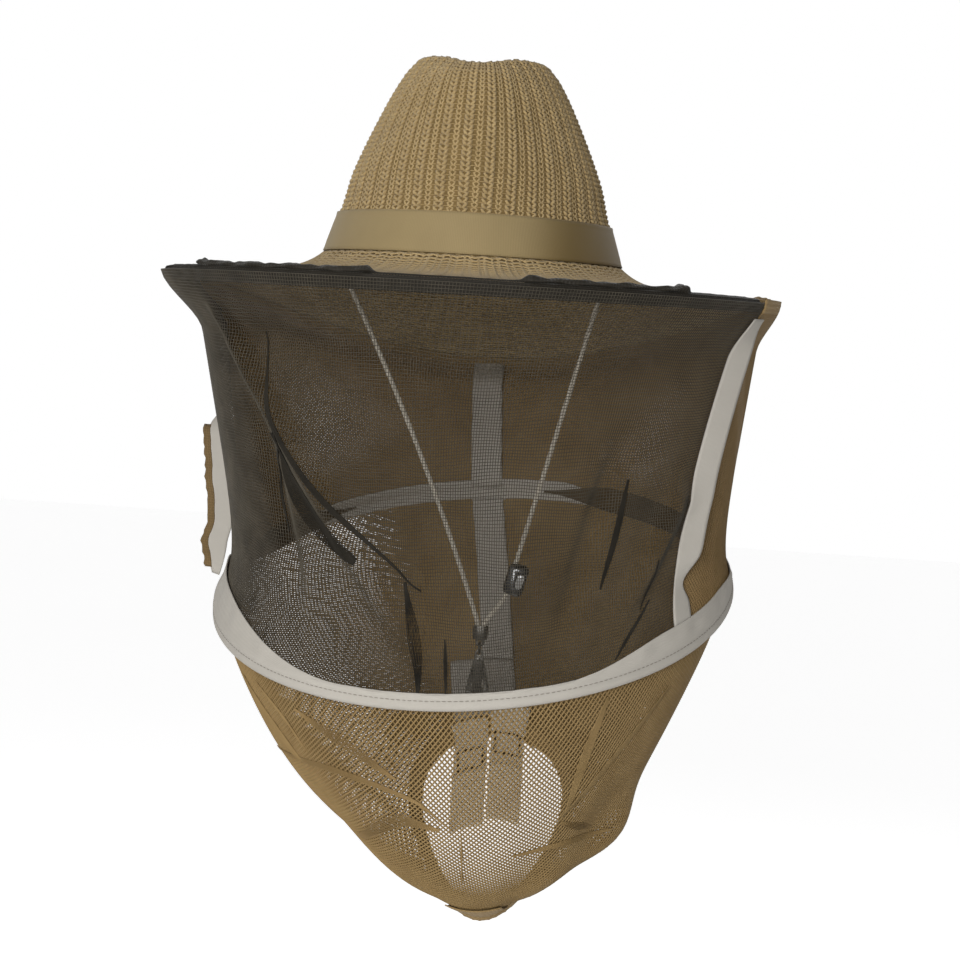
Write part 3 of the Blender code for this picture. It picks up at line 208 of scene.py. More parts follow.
POUCH_GATHER_DEPTH = 3.5 * MM
POUCH_FADE = 0.15               # share of the height over which gathers and corner fade at the hem

# Straps and patches at the hem
PATCH_WIDTH = 40 * MM
PATCH_TOP = 0.76                # share of the pouch's wall where the patch begins
PATCH_GAP = 0.004               # between the tape above it and the patch
STRAP_WIDTH = 22 * MM
STRAP_LENGTH = 50 * MM
STRAP_THICKNESS = 1.2 * MM
STRAP_FOLD_RADIUS = 1.7 * MM
STRAP_SEWN = 22 * MM            # upper end above the hem
STRAP_BEND = 11 * MM            # where it leaves the patch, above the hem
STRAP_EASE = 0.8 * MM           # room behind it
STRAP_OFFSETS = (-18 * MM, 6 * MM)
STRAP_DROPS = (10 * MM, 0.0)    # the left strap is sewn lower
STRAP_BOX = (16, 26)            # rows of a strap's grid with sewing across
FRONT_PATCH_WIDTH = 30 * MM
FRONT_PATCH_TOP = 0.86

# Chin cord
CORD_RADIUS = 1.5 * MM
CORD_POINTS = 7
CORD_TAB_DROP = 8 * MM
CORD_TAB_REACH = {-1: 73.0 * MM, 1: 76.0 * MM}   # each tab's end from the middle
CORD_BOW = 4 * MM
CORD_PLIES = 3
PLY_RADIUS = 0.78 * MM
PLY_REACH = 0.72 * MM           # its middle from the cord's
PLY_PITCH = 7 * MM
CORD_STEP = 0.7 * MM            # between the rings of a ply
LOCK_PLACE = np.array((0.0330, 0.0, -0.171))
LOCK_BEND = 12 * MM
CRIMP_TOP = np.array((0.017, 0.0, -0.2000))
CRIMP_HEIGHT = 8 * MM
CRIMP_CORD_SPREAD = 1.75 * MM
TAB_WIDTH = 12 * MM
TAB_LENGTH = 20 * MM
TAB_BEND = 5 * MM
TAB_THICKNESS = 1.0 * MM

# Rigid fittings
EASED_EDGE = 0.12 * MM
SHARP_ANGLE = math.radians(40)  # edges with a sharper turn are eased

# Knit of the hat: a yarn is given by its radius
KNIT_RIBS = 40                  # main ribs up the crown
KNIT_COLUMN = 9.3 * MM          # between two ribs, on its top
KNIT_ROW = 3.1 * MM
KNIT_SLOPE = 1.12               # the crown's side is longer than it is high
BRIM_RIBS = 150
BRIM_ROW = 2.4 * MM
BRIM_MIDDLE = 0.13              # radius about half way across the brim
RIB_SWAY = 1.7 * MM             # the ribs' zigzag
RIB_BUNCH = 0.22                # how much the ribs bunch towards the sides
RIB_SIZE = (2.8 * MM, 1.2 * MM)     # half width of a rib, and how proud it stands
PURL_SIZE = (1.9 * MM, 0.2 * MM)    # the same between the ribs
RIB_YARN = 0.92 * MM
PURL_YARN = 0.66 * MM
ROW_YARN = 0.75 * MM
BRIM_YARN = 0.95 * MM
YARN_SIDES = 4

# Netting: a pitch is between two threads, and a strand is given by its radius
FRONT_PITCH = 1.45 * MM
FRONT_STRAND = 0.21 * MM
FRONT_HEM_STRAND = 0.36 * MM
FRONT_SIZE = (0.455, 0.180)     # across and down
FRONT_THREAD = 0.19             # length of a thread down it, with its slack
FRONT_SLACK = 0.006             # share of the height by which threads wander
REAR_PITCH = 1.75 * MM
REAR_STRAND = 0.70 * MM
REAR_HEM_STRAND = 0.5 * MM
REAR_SIZE = (0.555, 0.150)      # across and down
POUCH_PITCH = 2.0 * MM
POUCH_STRAND = 0.54 * MM
POUCH_SHARES = (-0.02, 1.014)   # it reaches into the tape above and the casing below
STRAND_STEP = 4.5 * MM          # between the rings of a strand
POUCH_STEP = 4.0 * MM           # of height, between the rings of its strands
POUCH_CLOSE = (math.radians(153), math.radians(58))     # where the pouch is gathered closer: middle, reach
POUCH_CLOSE_RAGGED = 0.1
STRAND_SIDES = 3
VEIL_HEIGHT = 0.165
POUCH_HEIGHT = 0.165
NET_LAYER = 0.3 * MM            # thickness of one layer, where it shows as cloth
NET_FOLD = 0.5 * MM             # the same, folded
FRONT_CREASE_STRAND = 0.25 * MM
POUCH_CREASE_STRAND = 0.30 * MM
CREASE_LIFT = 0.8 * MM
CREASE_STEPS = 40
# Creases: angle in degrees and share of the height along each, its width and its threads
FRONT_CREASES = (
    (((-37, 0.14), (-38.4, 0.26), (-35.5, 0.38), (-24.2, 0.56), (-6, 0.74)), 2.0 * MM, 9),
    (((-35.5, 0.38), (-42, 0.52), (-41, 0.65)), 1.4 * MM, 6),
    (((-36, 0.39), (-36, 0.50), (-29, 0.60), (-19, 0.68)), 13 * MM, 17),
    (((36.7, 0.486), (34.2, 0.645), (31.3, 0.772)), 3.0 * MM, 9),
    (((43.5, 0.716), (41.0, 0.854)), 1.6 * MM, 5),
    (((43.9, 0.836), (34.4, 0.969)), 1.6 * MM, 5),
    (((-1.6, 0.862), (-1.4, 1.0)), 1.6 * MM, 5),
    (((-100, 0.0), (-97, 0.12), (-93, 0.30), (-90, 0.52)), 13 * MM, 24),
    (((-9, 0.72), (-7.5, 0.86), (-7, 1.0)), 5 * MM, 9),
)
POUCH_CREASES = (
    (((-59.5, 0.355), (-42, 0.265), (-29, 0.23), (-11, 0.265), (-2, 0.36)), 3.0 * MM, 7),
    (((-53, 0.06), (-44.5, 0.125), (-38.5, 0.215)), 2.5 * MM, 5),
    (((-62, 0.10), (-54, 0.20), (-44, 0.28)), 16 * MM, 14),
    (((-38.5, 0.075), (-25.5, 0.13), (-14, 0.205)), 5.0 * MM, 7),
    (((-32.5, 0.505), (-15.5, 0.35), (-5, 0.365)), 7.0 * MM, 9),
    (((53.5, 0.09), (41.5, 0.22), (27.5, 0.38)), 4.0 * MM, 7),
    (((33.5, 0.03), (30.5, 0.18), (28.5, 0.37)), 6.0 * MM, 9),
    (((15, 0.495), (32, 0.52), (52.5, 0.635)), 4.0 * MM, 8),
    (((27.5, 0.405), (42.5, 0.535)), 4.0 * MM, 6),
    (((0.5, 0.37), (0, 0.48), (-1, 0.615)), 0.8 * MM, 3),
)

# Camera, found by laying the part over the photograph
CAMERA_TURN = math.radians(4)
CAMERA_DOWN = math.radians(4.76)
CAMERA_ROLL = math.radians(3.4)
CAMERA_DISTANCE = 1.15
CAMERA_LOOKS_AT = Vector((0.0115, 0.0, -0.115))
CAMERA_SENSOR = 36.0
CAMERA_LENS = 74.36

# Stage: lamps have a place, a size in metres and a power in watts
FLOOR_LEVEL = -0.80
FLOOR_HALF_WIDTH = 6.0
FLOOR_GLOW = (0.62, 0.62, 0.62, 1)
WORLD_LIGHT = 0.34
LAMPS = (
    ("key", (-0.14, -1.35, 0.02), 0.4, 13.0),
    ("fill", (-0.90, -1.10, 0.55), 0.9, 4.5),
    ("rim", (0.3, 1.3, 0.8), 0.9, 4.0),
)

# Colours, linear
STRAW_PALE = (0.52, 0.385, 0.190, 1)
STRAW_DEEP = (0.25, 0.17, 0.070, 1)
# Dark brown of the shell under the knit: painted shade in the gaps between the yarns
STRAW_GAP_SHADE = (0.085, 0.055, 0.021, 1)
RIBBON_PALE = (0.31, 0.235, 0.115, 1)
RIBBON_DEEP = (0.135, 0.088, 0.022, 1)
RIBBON_SHADE = (0.13, 0.095, 0.045, 1)
NET_BLACK = (0.008, 0.007, 0.005, 1)
NET_BLACK_WORN = (0.022, 0.018, 0.012, 1)
# The black threads are kept greyish, most in their paler patches: painted sheen of lamplight on black netting
THREAD_BLACK = (0.030, 0.026, 0.019, 1)
THREAD_BLACK_PAINTED_SHEEN = (0.105, 0.090, 0.067, 1)
NET_KHAKI = (0.305, 0.210, 0.094, 1)
NET_KHAKI_DEEP = (0.21, 0.135, 0.054, 1)
REAR_KHAKI = (0.28, 0.190, 0.088, 1)
REAR_KHAKI_DEEP = (0.20, 0.130, 0.055, 1)
# Dark browns of the seam inside the hoop: painted shade on the folded netting. The first is also the raw
# edge's deeper tone
SEAM_BROWN = (0.085, 0.058, 0.028, 1)
SEAM_SHADE_DEEP = (0.055, 0.037, 0.018, 1)
TAPE_WHITE = (0.435, 0.408, 0.362, 1)
TAPE_SHADE = (0.36, 0.335, 0.295, 1)
ELASTIC_PALE = (0.82, 0.78, 0.70, 1)
ELASTIC_DEEP = (0.62, 0.58, 0.51, 1)
CORD_WHITE = (0.62, 0.575, 0.49, 1)
CORD_SHADE = (0.42, 0.375, 0.30, 1)
THREAD_BROWN = (0.035, 0.021, 0.010, 1)
# Grey of the hoop tape's stitching, darkened as painted shade of the groove it lies in
THREAD_GREY_AND_GROOVE_SHADE = (0.27, 0.25, 0.215, 1)
THREAD_GREY_DEEP_AND_GROOVE_SHADE = (0.18, 0.165, 0.14, 1)
NICKEL_BRIGHT = (0.12, 0.113, 0.10, 1)
NICKEL_DULL = (0.028, 0.026, 0.022, 1)
PLASTIC_BLACK = (0.006, 0.006, 0.006, 1)
PLASTIC_WORN = (0.012, 0.012, 0.012, 1)
PLASTIC_GREY = (0.28, 0.275, 0.26, 1)
PLASTIC_PALE = (0.34, 0.335, 0.32, 1)


# Shapes of the part

def smooth(value):
    """An eased step: 0 up to 0, 1 from 1 on."""
    value = np.clip(value, 0.0, 1.0)
    return value * value * (3 - 2 * value)


def unit(directions):
    """Directions made 1 long."""
    return directions / np.linalg.norm(directions, axis=-1, keepdims=True)


def vectors(x, y, z):
    """Points from their three numbers, or from rows or grids of them."""
    return np.stack(np.broadcast_arrays(x, y, z), axis=-1).astype(float)


def turned(rows, pitch, roll):
    """Points turned about X, then Y."""
    matrix = Matrix.Rotation(roll, 3, "Y") @ Matrix.Rotation(pitch, 3, "X")
    return rows @ np.array(matrix).T


def outward(angle):
    """The level way out from the hat's middle."""
    return vectors(np.sin(angle), -np.cos(angle), 0.0)


def through(stations, value):
    """Smooth values through stations whose first number is the place along them."""
    stations = np.asarray(stations)
    places = stations[:, 0]
    value = np.clip(value, places[0], places[-1])
    i = np.clip(np.searchsorted(places, value, side="right") - 1, 0, len(places) - 2)
    before, after = np.maximum(i - 1, 0), np.minimum(i + 2, len(places) - 1)
    span = places[i + 1] - places[i]
    t = ((value - places[i]) / span)[..., None]
    start, end = stations[i, 1:], stations[i + 1, 1:]
    slope_in = (end - stations[before, 1:]) * (span / (places[i + 1] - places[before]))[..., None]
    slope_out = (stations[after, 1:] - start) * (span / (places[after] - places[i]))[..., None]
    found = ((2 * t**3 - 3 * t**2 + 1) * start + (t**3 - 2 * t**2 + t) * slope_in
             + (3 * t**2 - 2 * t**3) * end + (t**3 - t**2) * slope_out)
    return np.moveaxis(found, -1, 0)


def smooth_line(points, count):
    """Points along a smooth curve through the given ones, evenly by length."""
    points = np.asarray(points, float)
    gaps = np.linalg.norm(np.diff(points, axis=0), axis=1)
    places = np.concatenate(([0.0], np.cumsum(gaps)))
    stations = np.column_stack((places, points))
    return np.stack(through(stations, np.linspace(0, places[-1], count)), axis=-1)


def crown_side(angle, height, lift=0.0):
    """Points of the crown's outer face, moved outwards by lift."""
    angle, height, lift = np.broadcast_arrays(*(np.asarray(v, float) for v in (angle, height, lift)))
    half_width, front, back = through(CROWN_STATIONS, height)
    length = np.where(np.cos(angle) > 0, front, back)
    rise = smooth(height / CROWN_HEIGHT)
    facing = (angle + math.pi) % TURN - math.pi
    pinch = sum(np.exp(-((facing - side * PINCH_ANGLE) / PINCH_SPREAD) ** 2) for side in (-1, 1))
    inwards = PINCH_DEPTH * pinch * rise * (1 - 0.4 * rise)
    across = unit(vectors(np.sin(angle) / half_width, -np.cos(angle) / length, 0.0))
    point = vectors(half_width * np.sin(angle), -length * np.cos(angle), 0.0)
    point += across * (lift - inwards)[..., None]
    near_rim = np.clip(4 * height / CROWN_HEIGHT - 3, 0, 1) ** 2
    point[..., 2] = height - CREASE_DEPTH * near_rim * np.exp(-(np.sin(angle) / CREASE_SPREAD) ** 2)
    return point


def brim_face(angle, share):
    """Points of the brim's middle surface, from the crown to its edge."""
    share = np.asarray(share, float)
    root = crown_side(angle, 0.0, CLEARANCE)
    dip = BRIM_REAR_DIP * np.maximum(0.0, -np.cos(angle)) ** 2
    edge = vectors(BRIM_HALF_WIDTH * np.sin(angle), -BRIM_HALF_LENGTH * np.cos(angle), 0.0)
    point = root + (edge - root) * share[..., None]
    point[..., 2] = BRIM_ROOT_RISE * (1 - share) ** BRIM_ROOT_CURVE - (BRIM_EDGE_DROP + dip) * share
    return point


def brim_rim(angle):
    """The brim's edge, the way inwards along the brim, and the way up from it."""
    edge = brim_face(angle, 1.0)
    inward = unit(brim_face(angle, 0.94) - edge)
    up = unit(np.cross(inward, vectors(np.cos(angle), np.sin(angle), 0.0)))
    return edge, inward, up * np.sign(up[..., 2:])


def hoop_ring(angle, grow=0.0, rise=0.0):
    """Points round the hoop, on a ring wider by grow and higher by rise."""
    radius = HOOP_RADIUS + grow
    return HOOP_CENTRE + turned(vectors(radius * np.sin(angle), -radius * np.cos(angle), rise),
                                HOOP_PITCH, HOOP_ROLL)


def hem_ring(angle):
    """Points round the hem's elastic, which is narrower in front."""
    half_width = HEM_HALF_WIDTH * (1 - HEM_TAPER * np.cos(angle))
    flat = vectors(half_width * np.sin(angle), -HEM_HALF_LENGTH * np.cos(angle), 0.0)
    return HEM_CENTRE + turned(flat, HEM_PITCH, 0.0)


def wall_into_hem(angle):
    """The way in which the pouch's wall runs down into the hem."""
    return unit(turned(outward(angle) * -HEM_INSLOPE - vectors(0, 0, 1), HEM_PITCH, 0.0))


def seam_angle(seam, share):
    """A seam's angle at a share, on a curve through its three angles."""
    brim, middle, hoop = seam
    return (brim * (1 - share) * (1 - 2 * share) + 4 * middle * share * (1 - share)
            + hoop * share * (2 * share - 1))


def fold_depth(angle, share):
    """How far the folds of the slack front push the netting out or in."""
    total = 0.0
    for start_angle, start, end_angle, end, width, depth in FRONT_FOLDS:
        t = np.clip((share - start) / (end - start), 0.0, 1.0)
        middle = np.radians(start_angle + (end_angle - start_angle) * t)
        aside = HOOP_RADIUS * (angle - middle) / width
        begins = smooth((share - start + FOLD_LEAD) / FOLD_FADE)
        ends = smooth((end + FOLD_TRAIL - share) / FOLD_FADE)
        total = total + depth * np.exp(-aside * aside) * (begins * ends)
    return total


def veil_wall(angle, share):
    """Points of the veil's middle surface, from the brim's hem to the hoop's tape."""
    angle, share = np.broadcast_arrays(np.asarray(angle, float), np.asarray(share, float))
    edge, inward = brim_rim(angle)[:2]
    hem_reach = 2 * BRIM_WIRE_RADIUS + 3 * CLEARANCE + CLOTH + NET / 2
    top = edge - inward * (hem_reach + VEIL_HEM_GAP)
    bottom = hoop_ring(angle, 0.0, HOOP_TAPE_OUTSIDE)
    waist = VEIL_WAIST - VEIL_WAIST_SKEW * np.sin(angle)
    falls_in = waist * smooth(share / VEIL_WAIST_REACH) * (1 - share ** VEIL_WAIST_CURVE)
    in_front = smooth((np.cos(angle) + 0.1) / 0.3)
    bulge = fold_depth(angle, share) * in_front * smooth(share / 0.15) * smooth((1 - share) / FOLD_FADE)
    return top + (bottom - top) * share[..., None] + outward(angle) * (bulge - falls_in)[..., None]


def pouch_top(angle, rise):
    """Points of the pouch's upper edge, inside the hoop's tape."""
    bend = HOOP_WIRE_RADIUS + CLEARANCE + CLOTH
    return hoop_ring(angle, -(bend + CLEARANCE + NET / 2), rise)


def pouch_wall(angle, share):
    """Points of the pouch's middle surface, from the hoop to the hem's casing."""
    angle, share = np.broadcast_arrays(np.asarray(angle, float), np.asarray(share, float))
    start = pouch_top(angle, -POUCH_LAP)
    end = hem_ring(angle) - wall_into_hem(angle) * (HEM_CASING_HEIGHT + CASING_GAP)
    belly = 4 * share * (1 - share)
    calm = smooth((np.abs(np.sin(angle)) - 0.25) / 0.3)
    fading = smooth((1 - share) / POUCH_FADE)
    gathers = np.cos(POUCH_GATHERS * angle) * smooth(share * 1.1) * fading * calm
    turn, place = POUCH_CORNER
    wide, high = POUCH_CORNER_SPREAD
    facing = (angle - turn + math.pi) % TURN - math.pi
    corner = np.exp(-(facing / wide) ** 2 - ((share - place) / high) ** 2) * fading
    bulge = (POUCH_BULGE - POUCH_BULGE_SKEW * np.sin(angle)) * belly
    bulge = bulge + POUCH_GATHER_DEPTH * gathers + POUCH_CORNER_DEPTH * corner
    point = start + (end - start) * share[..., None] + outward(angle) * bulge[..., None]
    point[..., 2] -= POUCH_FRONT_SAG * belly * np.maximum(0.0, np.cos(angle))
    return point


def normals(surface, angle, share):
    """Unit normals of a surface, pointing out from the hat's middle, or up from the brim."""
    step = 2e-3
    down = surface(angle, share + step) - surface(angle, share - step)
    aside = surface(angle + step, share) - surface(angle - step, share)
    normal = unit(np.cross(down, aside))
    way = vectors(0, 0, 1) if surface is brim_face else outward(angle)
    return normal * np.sign(np.sum(normal * way, axis=-1, keepdims=True))


def lifted(surface, angle, share, lift):
    """Points of a surface, moved along its normals."""
    angle, share, lift = np.broadcast_arrays(*(np.asarray(v, float) for v in (angle, share, lift)))
    return surface(angle, share) + normals(surface, angle, share) * lift[..., None]


# Meshes

def add_object(name, mesh):
    obj = bpy.data.objects.new(name, mesh)
    bpy.context.scene.collection.objects.link(obj)
    return obj


def made_real(obj):
    """Make what an object's modifiers show its own mesh."""
    depsgraph = bpy.context.evaluated_depsgraph_get()
    mesh = bpy.data.meshes.new_from_object(obj.evaluated_get(depsgraph))
    old = obj.data
    obj.modifiers.clear()
    obj.data = mesh
    bpy.data.meshes.remove(old)
    mesh.name = obj.name
    return obj


def cloth(name, grid, finish, thickness=TAPE_THICKNESS, closed=False, cap=None):
    """A sheet through a grid of points, with a UV map in metres along its own lines."""
    rows, columns = grid.shape[:2]
    shape = bmesh.new()
    points = [[shape.verts.new(point) for point in row] for row in grid]
    layer = shape.loops.layers.uv.new("UVMap")
    looped = np.concatenate((grid, grid[:, :1]), axis=1) if closed else grid
    across = np.linalg.norm(np.diff(looped, axis=1), axis=2).mean(axis=0)
    along = np.linalg.norm(np.diff(grid, axis=0), axis=2).mean(axis=1)
    u = np.concatenate(([0.0], np.cumsum(across)))
    v = np.concatenate(([0.0], np.cumsum(along)))
    for i in range(rows - 1):
        for j in range(columns if closed else columns - 1):
            k = (j + 1) % columns
            face = shape.faces.new((points[i][j], points[i][k], points[i + 1][k], points[i + 1][j]))
            for loop, place in zip(face.loops, ((j, i), (j + 1, i), (j + 1, i + 1), (j, i + 1))):
                loop[layer].uv = (u[place[0]], v[place[1]])
            face.smooth = True
    if cap is not None:
        tip = shape.verts.new(cap)
        for j in range(columns):
            face = shape.faces.new((points[-1][j], points[-1][(j + 1) % columns], tip))
            face.smooth = True
    mesh = bpy.data.meshes.new(name)
    shape.to_mesh(mesh)
    shape.free()
    mesh.materials.append(finish)
    obj = add_object(name, mesh)
    if thickness:
        wall = obj.modifiers.new("thickness", "SOLIDIFY")
        wall.thickness = thickness
        wall.offset = 0.0
        made_real(obj)
    return obj


def line_mesh(name, lines):
    """A mesh of edges only: each line is its points and whether it closes on itself."""
    starts = np.cumsum([0] + [len(points) for points, closed in lines])
    edges = []
    for start, (points, closed) in zip(starts, lines):
        chain = np.arange(start, start + len(points))
        edges.append(np.column_stack((chain[:-1], chain[1:])))
        if closed:
            edges.append(np.array([(chain[-1], chain[0])]))
    edges = np.concatenate(edges)
    places = np.concatenate([points for points, closed in lines])
    mesh = bpy.data.meshes.new(name)
    mesh.vertices.add(len(places))
    mesh.vertices.foreach_set("co", places.astype(np.float32).ravel())
    mesh.edges.add(len(edges))
    mesh.edges.foreach_set("vertices", edges.astype(np.int32).ravel())
    mesh.update()
    return mesh


# Geometry Nodes trees

class Tree:
    """A Geometry Nodes tree with named inputs, which ends in plain meshes of one material."""

    def __init__(self, name, sizes):
        self.tree = bpy.data.node_groups.new(name, "GeometryNodeTree")
        face = self.tree.interface
        face.new_socket("Lines", in_out="INPUT", socket_type="NodeSocketGeometry")
        self.inputs = {}
        for label, kind in {**sizes, "Material": "Material"}.items():
            self.inputs[label] = face.new_socket(label, in_out="INPUT", socket_type="NodeSocket" + kind)
        face.new_socket("Geometry", in_out="OUTPUT", socket_type="NodeSocketGeometry")
        self.start = self.tree.nodes.new("NodeGroupInput")
        self.end = self.tree.nodes.new("NodeGroupOutput")

    def size(self, label):
        return self.start.outputs[label]

    def add(self, kind, inputs=None, settings=None, output=0):
        other = kind.startswith(("FunctionNode", "ShaderNode"))
        node = self.tree.nodes.new(kind if other else "GeometryNode" + kind)
        for label, value in (settings or {}).items():
            setattr(node, label, value)
        for label, value in (inputs or {}).items():
            if isinstance(value, bpy.types.NodeSocket):
                self.tree.links.new(value, node.inputs[label])
            else:
                node.inputs[label].default_value = value
        return node.outputs[output]

    def close(self, made):
        made = self.add("SetShadeSmooth", {"Geometry": made})
        made = self.add("RealizeInstances", {"Geometry": made})
        made = self.add("SetMaterial", {"Geometry": made, "Material": self.size("Material")})
        self.tree.links.new(made, self.end.inputs["Geometry"])

    def apply(self, name, lines, finish, **sizes):
        obj = add_object(name, line_mesh(name, lines))
        change = obj.modifiers.new(self.tree.name, "NODES")
        change.node_group = self.tree
        for label, value in {**sizes, "Material": finish}.items():
            change[self.inputs[label].identifier] = value
        return made_real(obj)


def strand_tree():
    """Sweeps a round section along every line."""
    tree = Tree("strands", {"Radius": "Float", "Sides": "Int", "Caps": "Bool"})
    curve = tree.add("MeshToCurve", {"Mesh": tree.size("Lines")})
    section = tree.add("CurvePrimitiveCircle", {"Resolution": tree.size("Sides"),
                                                "Radius": tree.size("Radius")})
    made = tree.add("CurveToMesh", {"Curve": curve, "Profile Curve": section, "Fill Caps": tree.size("Caps")})
    tree.close(made)
    return tree


def stitch_tree():
    """Sets stitches end to end along every line."""
    tree = Tree("stitches", {"Pitch": "Float", "Length": "Float", "Radius": "Float"})
    curve = tree.add("MeshToCurve", {"Mesh": tree.size("Lines")})
    places = tree.add("ResampleCurve", {"Curve": curve, "Length": tree.size("Pitch")}, {"mode": "LENGTH"})
    stitch = tree.add("MeshUVSphere", {"Segments": 6, "Rings": 4, "Radius": 0.5})
    along = tree.add("InputTangent")
    turn = tree.add("FunctionNodeAlignRotationToVector", {"Vector": along}, {"axis": "Z"})
    radius, length = tree.size("Radius"), tree.size("Length")
    scale = tree.add("ShaderNodeCombineXYZ", {"X": radius, "Y": radius, "Z": length})
    made = tree.add("InstanceOnPoints", {"Points": places, "Instance": stitch, "Rotation": turn,
                                         "Scale": scale})
    tree.close(made)
    return tree


# Finishes

class Value:
    """A socket of a finish's nodes, with arithmetic that adds the nodes it needs."""

    def __init__(self, finish, socket):
        self.finish = finish
        self.socket = socket

    def maths(self, operation, first, second=0.0):
        return self.finish.add("ShaderNodeMath", {"operation": operation}, {0: first, 1: second})

    def __add__(self, other):
        return self.maths("ADD", self, other)

    def __radd__(self, other):
        return self.maths("ADD", other, self)

    def __sub__(self, other):
        return self.maths("SUBTRACT", self, other)

    def __rsub__(self, other):
        return self.maths("SUBTRACT", other, self)

    def __mul__(self, other):
        return self.maths("MULTIPLY", self, other)

    def __rmul__(self, other):
        return self.maths("MULTIPLY", other, self)

    def wave(self, pitch):
        """A wave from 0 to 1 over each pitch."""
        return self.maths("SINE", self * (TURN / pitch)) * 0.5 + 0.5

    def beside(self, output):
        """Another output of the same node."""
        return Value(self.finish, self.socket.node.outputs[output])


class Finish:
    """A material: a Principled BSDF, its fixed values, and the nodes that feed it."""

    def __init__(self, name, shine=0.5, **fixed):
        self.material = bpy.data.materials.new(name)
        self.material.use_nodes = True
        self.nodes = self.material.node_tree.nodes
        self.links = self.material.node_tree.links
        self.shader = self.nodes["Principled BSDF"]
        for label, value in fixed.items():
            self.shader.inputs[label.replace("_", " ").title()].default_value = value
        self.shader.inputs["Specular IOR Level"].default_value = shine

    def add(self, kind, settings=None, inputs=None, output=0):
        node = self.nodes.new(kind)
        for label, value in (settings or {}).items():
            setattr(node, label, value)
        for label, value in (inputs or {}).items():
            self.connect(value, node.inputs[label])
        return Value(self, node.outputs[output])

    def connect(self, value, socket):
        if isinstance(value, Value):
            self.links.new(value.socket, socket)
        else:
            socket.default_value = value

    def feed(self, label, value):
        self.connect(value, self.shader.inputs[label])

    def place(self):
        return self.add("ShaderNodeTexCoord", output="Object")

    def map_place(self):
        """The piece's own UV map, in metres: across and along."""
        across = self.add("ShaderNodeSeparateXYZ", None, {0: self.add("ShaderNodeTexCoord", output="UV")})
        return across, across.beside(1)

    def noise(self, size, detail=2.0):
        inputs = {"Vector": self.place(), "Scale": 1 / size, "Detail": detail}
        return self.add("ShaderNodeTexNoise", None, inputs)

    def blend(self, share, first, second):
        return self.add("ShaderNodeMix", {"data_type": "RGBA"}, {0: share, 6: first, 7: second}, output=2)

    def bump(self, height, depth):
        inputs = {"Height": height, "Distance": depth, "Strength": 1.0}
        self.feed("Normal", self.add("ShaderNodeBump", None, inputs))


def straw_yarn():
    """Yarn of the knit, in patches of pale and deep straw."""
    finish = Finish("straw yarn", shine=0.15, roughness=0.85, sheen_weight=0.15)
    patches = finish.noise(9 * MM) * 0.55 + finish.noise(1.1 * MM, 4.0) * 0.75 - 0.15
    finish.feed("Base Color", finish.blend(patches, STRAW_DEEP, STRAW_PALE))
    finish.bump(finish.noise(0.35 * MM, 3.0), 0.25 * MM)
    return finish.material


def straw_gap_shade():
    """The shell's dark straw: painted shade that shows between the knit's yarns."""
    finish = Finish("straw in painted gap shade", shine=0.1, roughness=0.95)
    finish.feed("Base Color", finish.blend(finish.noise(3 * MM, 3.0), STRAW_GAP_SHADE, STRAW_DEEP))
    finish.bump(finish.noise(0.8 * MM, 3.0), 0.4 * MM)
    return finish.material


def woven(name, pale, deep, across_pitch, along_pitch, depth, roughness, soil=0.0):
    """A plain weave on the piece's own map, with a little soiling."""
    finish = Finish(name, shine=0.15, roughness=roughness, sheen_weight=0.05)
    across, along = finish.map_place()
    weave = across.wave(across_pitch) * 0.5 + along.wave(along_pitch) * 0.5
    cloudy = finish.noise(12 * MM, 3.0) * soil
    finish.feed("Base Color", finish.blend(weave * (1 - soil) * 0.6 + cloudy + 0.2, deep, pale))
    finish.bump(weave + finish.noise(0.5 * MM) * 0.3, depth)
    return finish.material


def ribbon():
    """The hat's ribbon, which is darker past one side of the front."""
    finish = Finish("ribbon", shine=0.15, roughness=0.6, sheen_weight=0.05)
    across, along = finish.map_place()
    weave = across.wave(0.9 * MM) * 0.5 + along.wave(0.45 * MM) * 0.5
    aside = finish.add("ShaderNodeSeparateXYZ", None, {0: finish.place()})
    start, end = RIBBON_DARKENS
    darker = finish.add("ShaderNodeMapRange", {"interpolation_type": "SMOOTHSTEP"},
                        {"Value": aside, "From Min": start, "From Max": end})
    plain = finish.blend(darker, RIBBON_PALE, RIBBON_DEEP)
    cloudy = weave * 0.25 + finish.noise(12 * MM, 3.0) * 0.2
    finish.feed("Base Color", finish.blend(cloudy, plain, RIBBON_SHADE))
    finish.bump(weave + finish.noise(0.5 * MM) * 0.3, 0.10 * MM)
    return finish.material


def netting(name, pale, deep):
    """Threads of netting."""
    finish = Finish(name, shine=0.12, roughness=0.6)
    finish.feed("Base Color", finish.blend(finish.noise(14 * MM, 3.0), deep, pale))
    finish.bump(finish.noise(0.4 * MM), 0.08 * MM)
    return finish.material


def yarn(name, pale, deep, size):
    """Soft cord and sewing thread, with patches of a size."""
    finish = Finish(name, shine=0.2, roughness=0.75, sheen_weight=0.1)
    finish.feed("Base Color", finish.blend(finish.noise(size, 3.0), deep, pale))
    finish.bump(finish.noise(0.25 * MM, 3.0), 0.12 * MM)
    return finish.material


def nickel(name, dull, bright):
    """Worn plated metal."""
    finish = Finish(name, metallic=1.0)
    wear = finish.noise(2.2 * MM, 4.0)
    finish.feed("Base Color", finish.blend(wear, dull, bright))
    finish.feed("Roughness", 0.28 + wear * 0.25)
    finish.bump(finish.noise(0.6 * MM, 3.0), 0.02 * MM)
    return finish.material


def plastic(name, deep, pale):
    """Glossy moulded plastic."""
    finish = Finish(name, coat_weight=0.3)
    finish.feed("Base Color", finish.blend(finish.noise(3 * MM), deep, pale))
    finish.feed("Roughness", 0.16 + finish.noise(1.5 * MM, 3.0) * 0.14)
    finish.bump(finish.noise(0.8 * MM), 0.02 * MM)
    return finish.material


# Hat

def rounds(count):
    """Angles evenly round the hat."""
    return np.linspace(-math.pi, math.pi, count, endpoint=False)


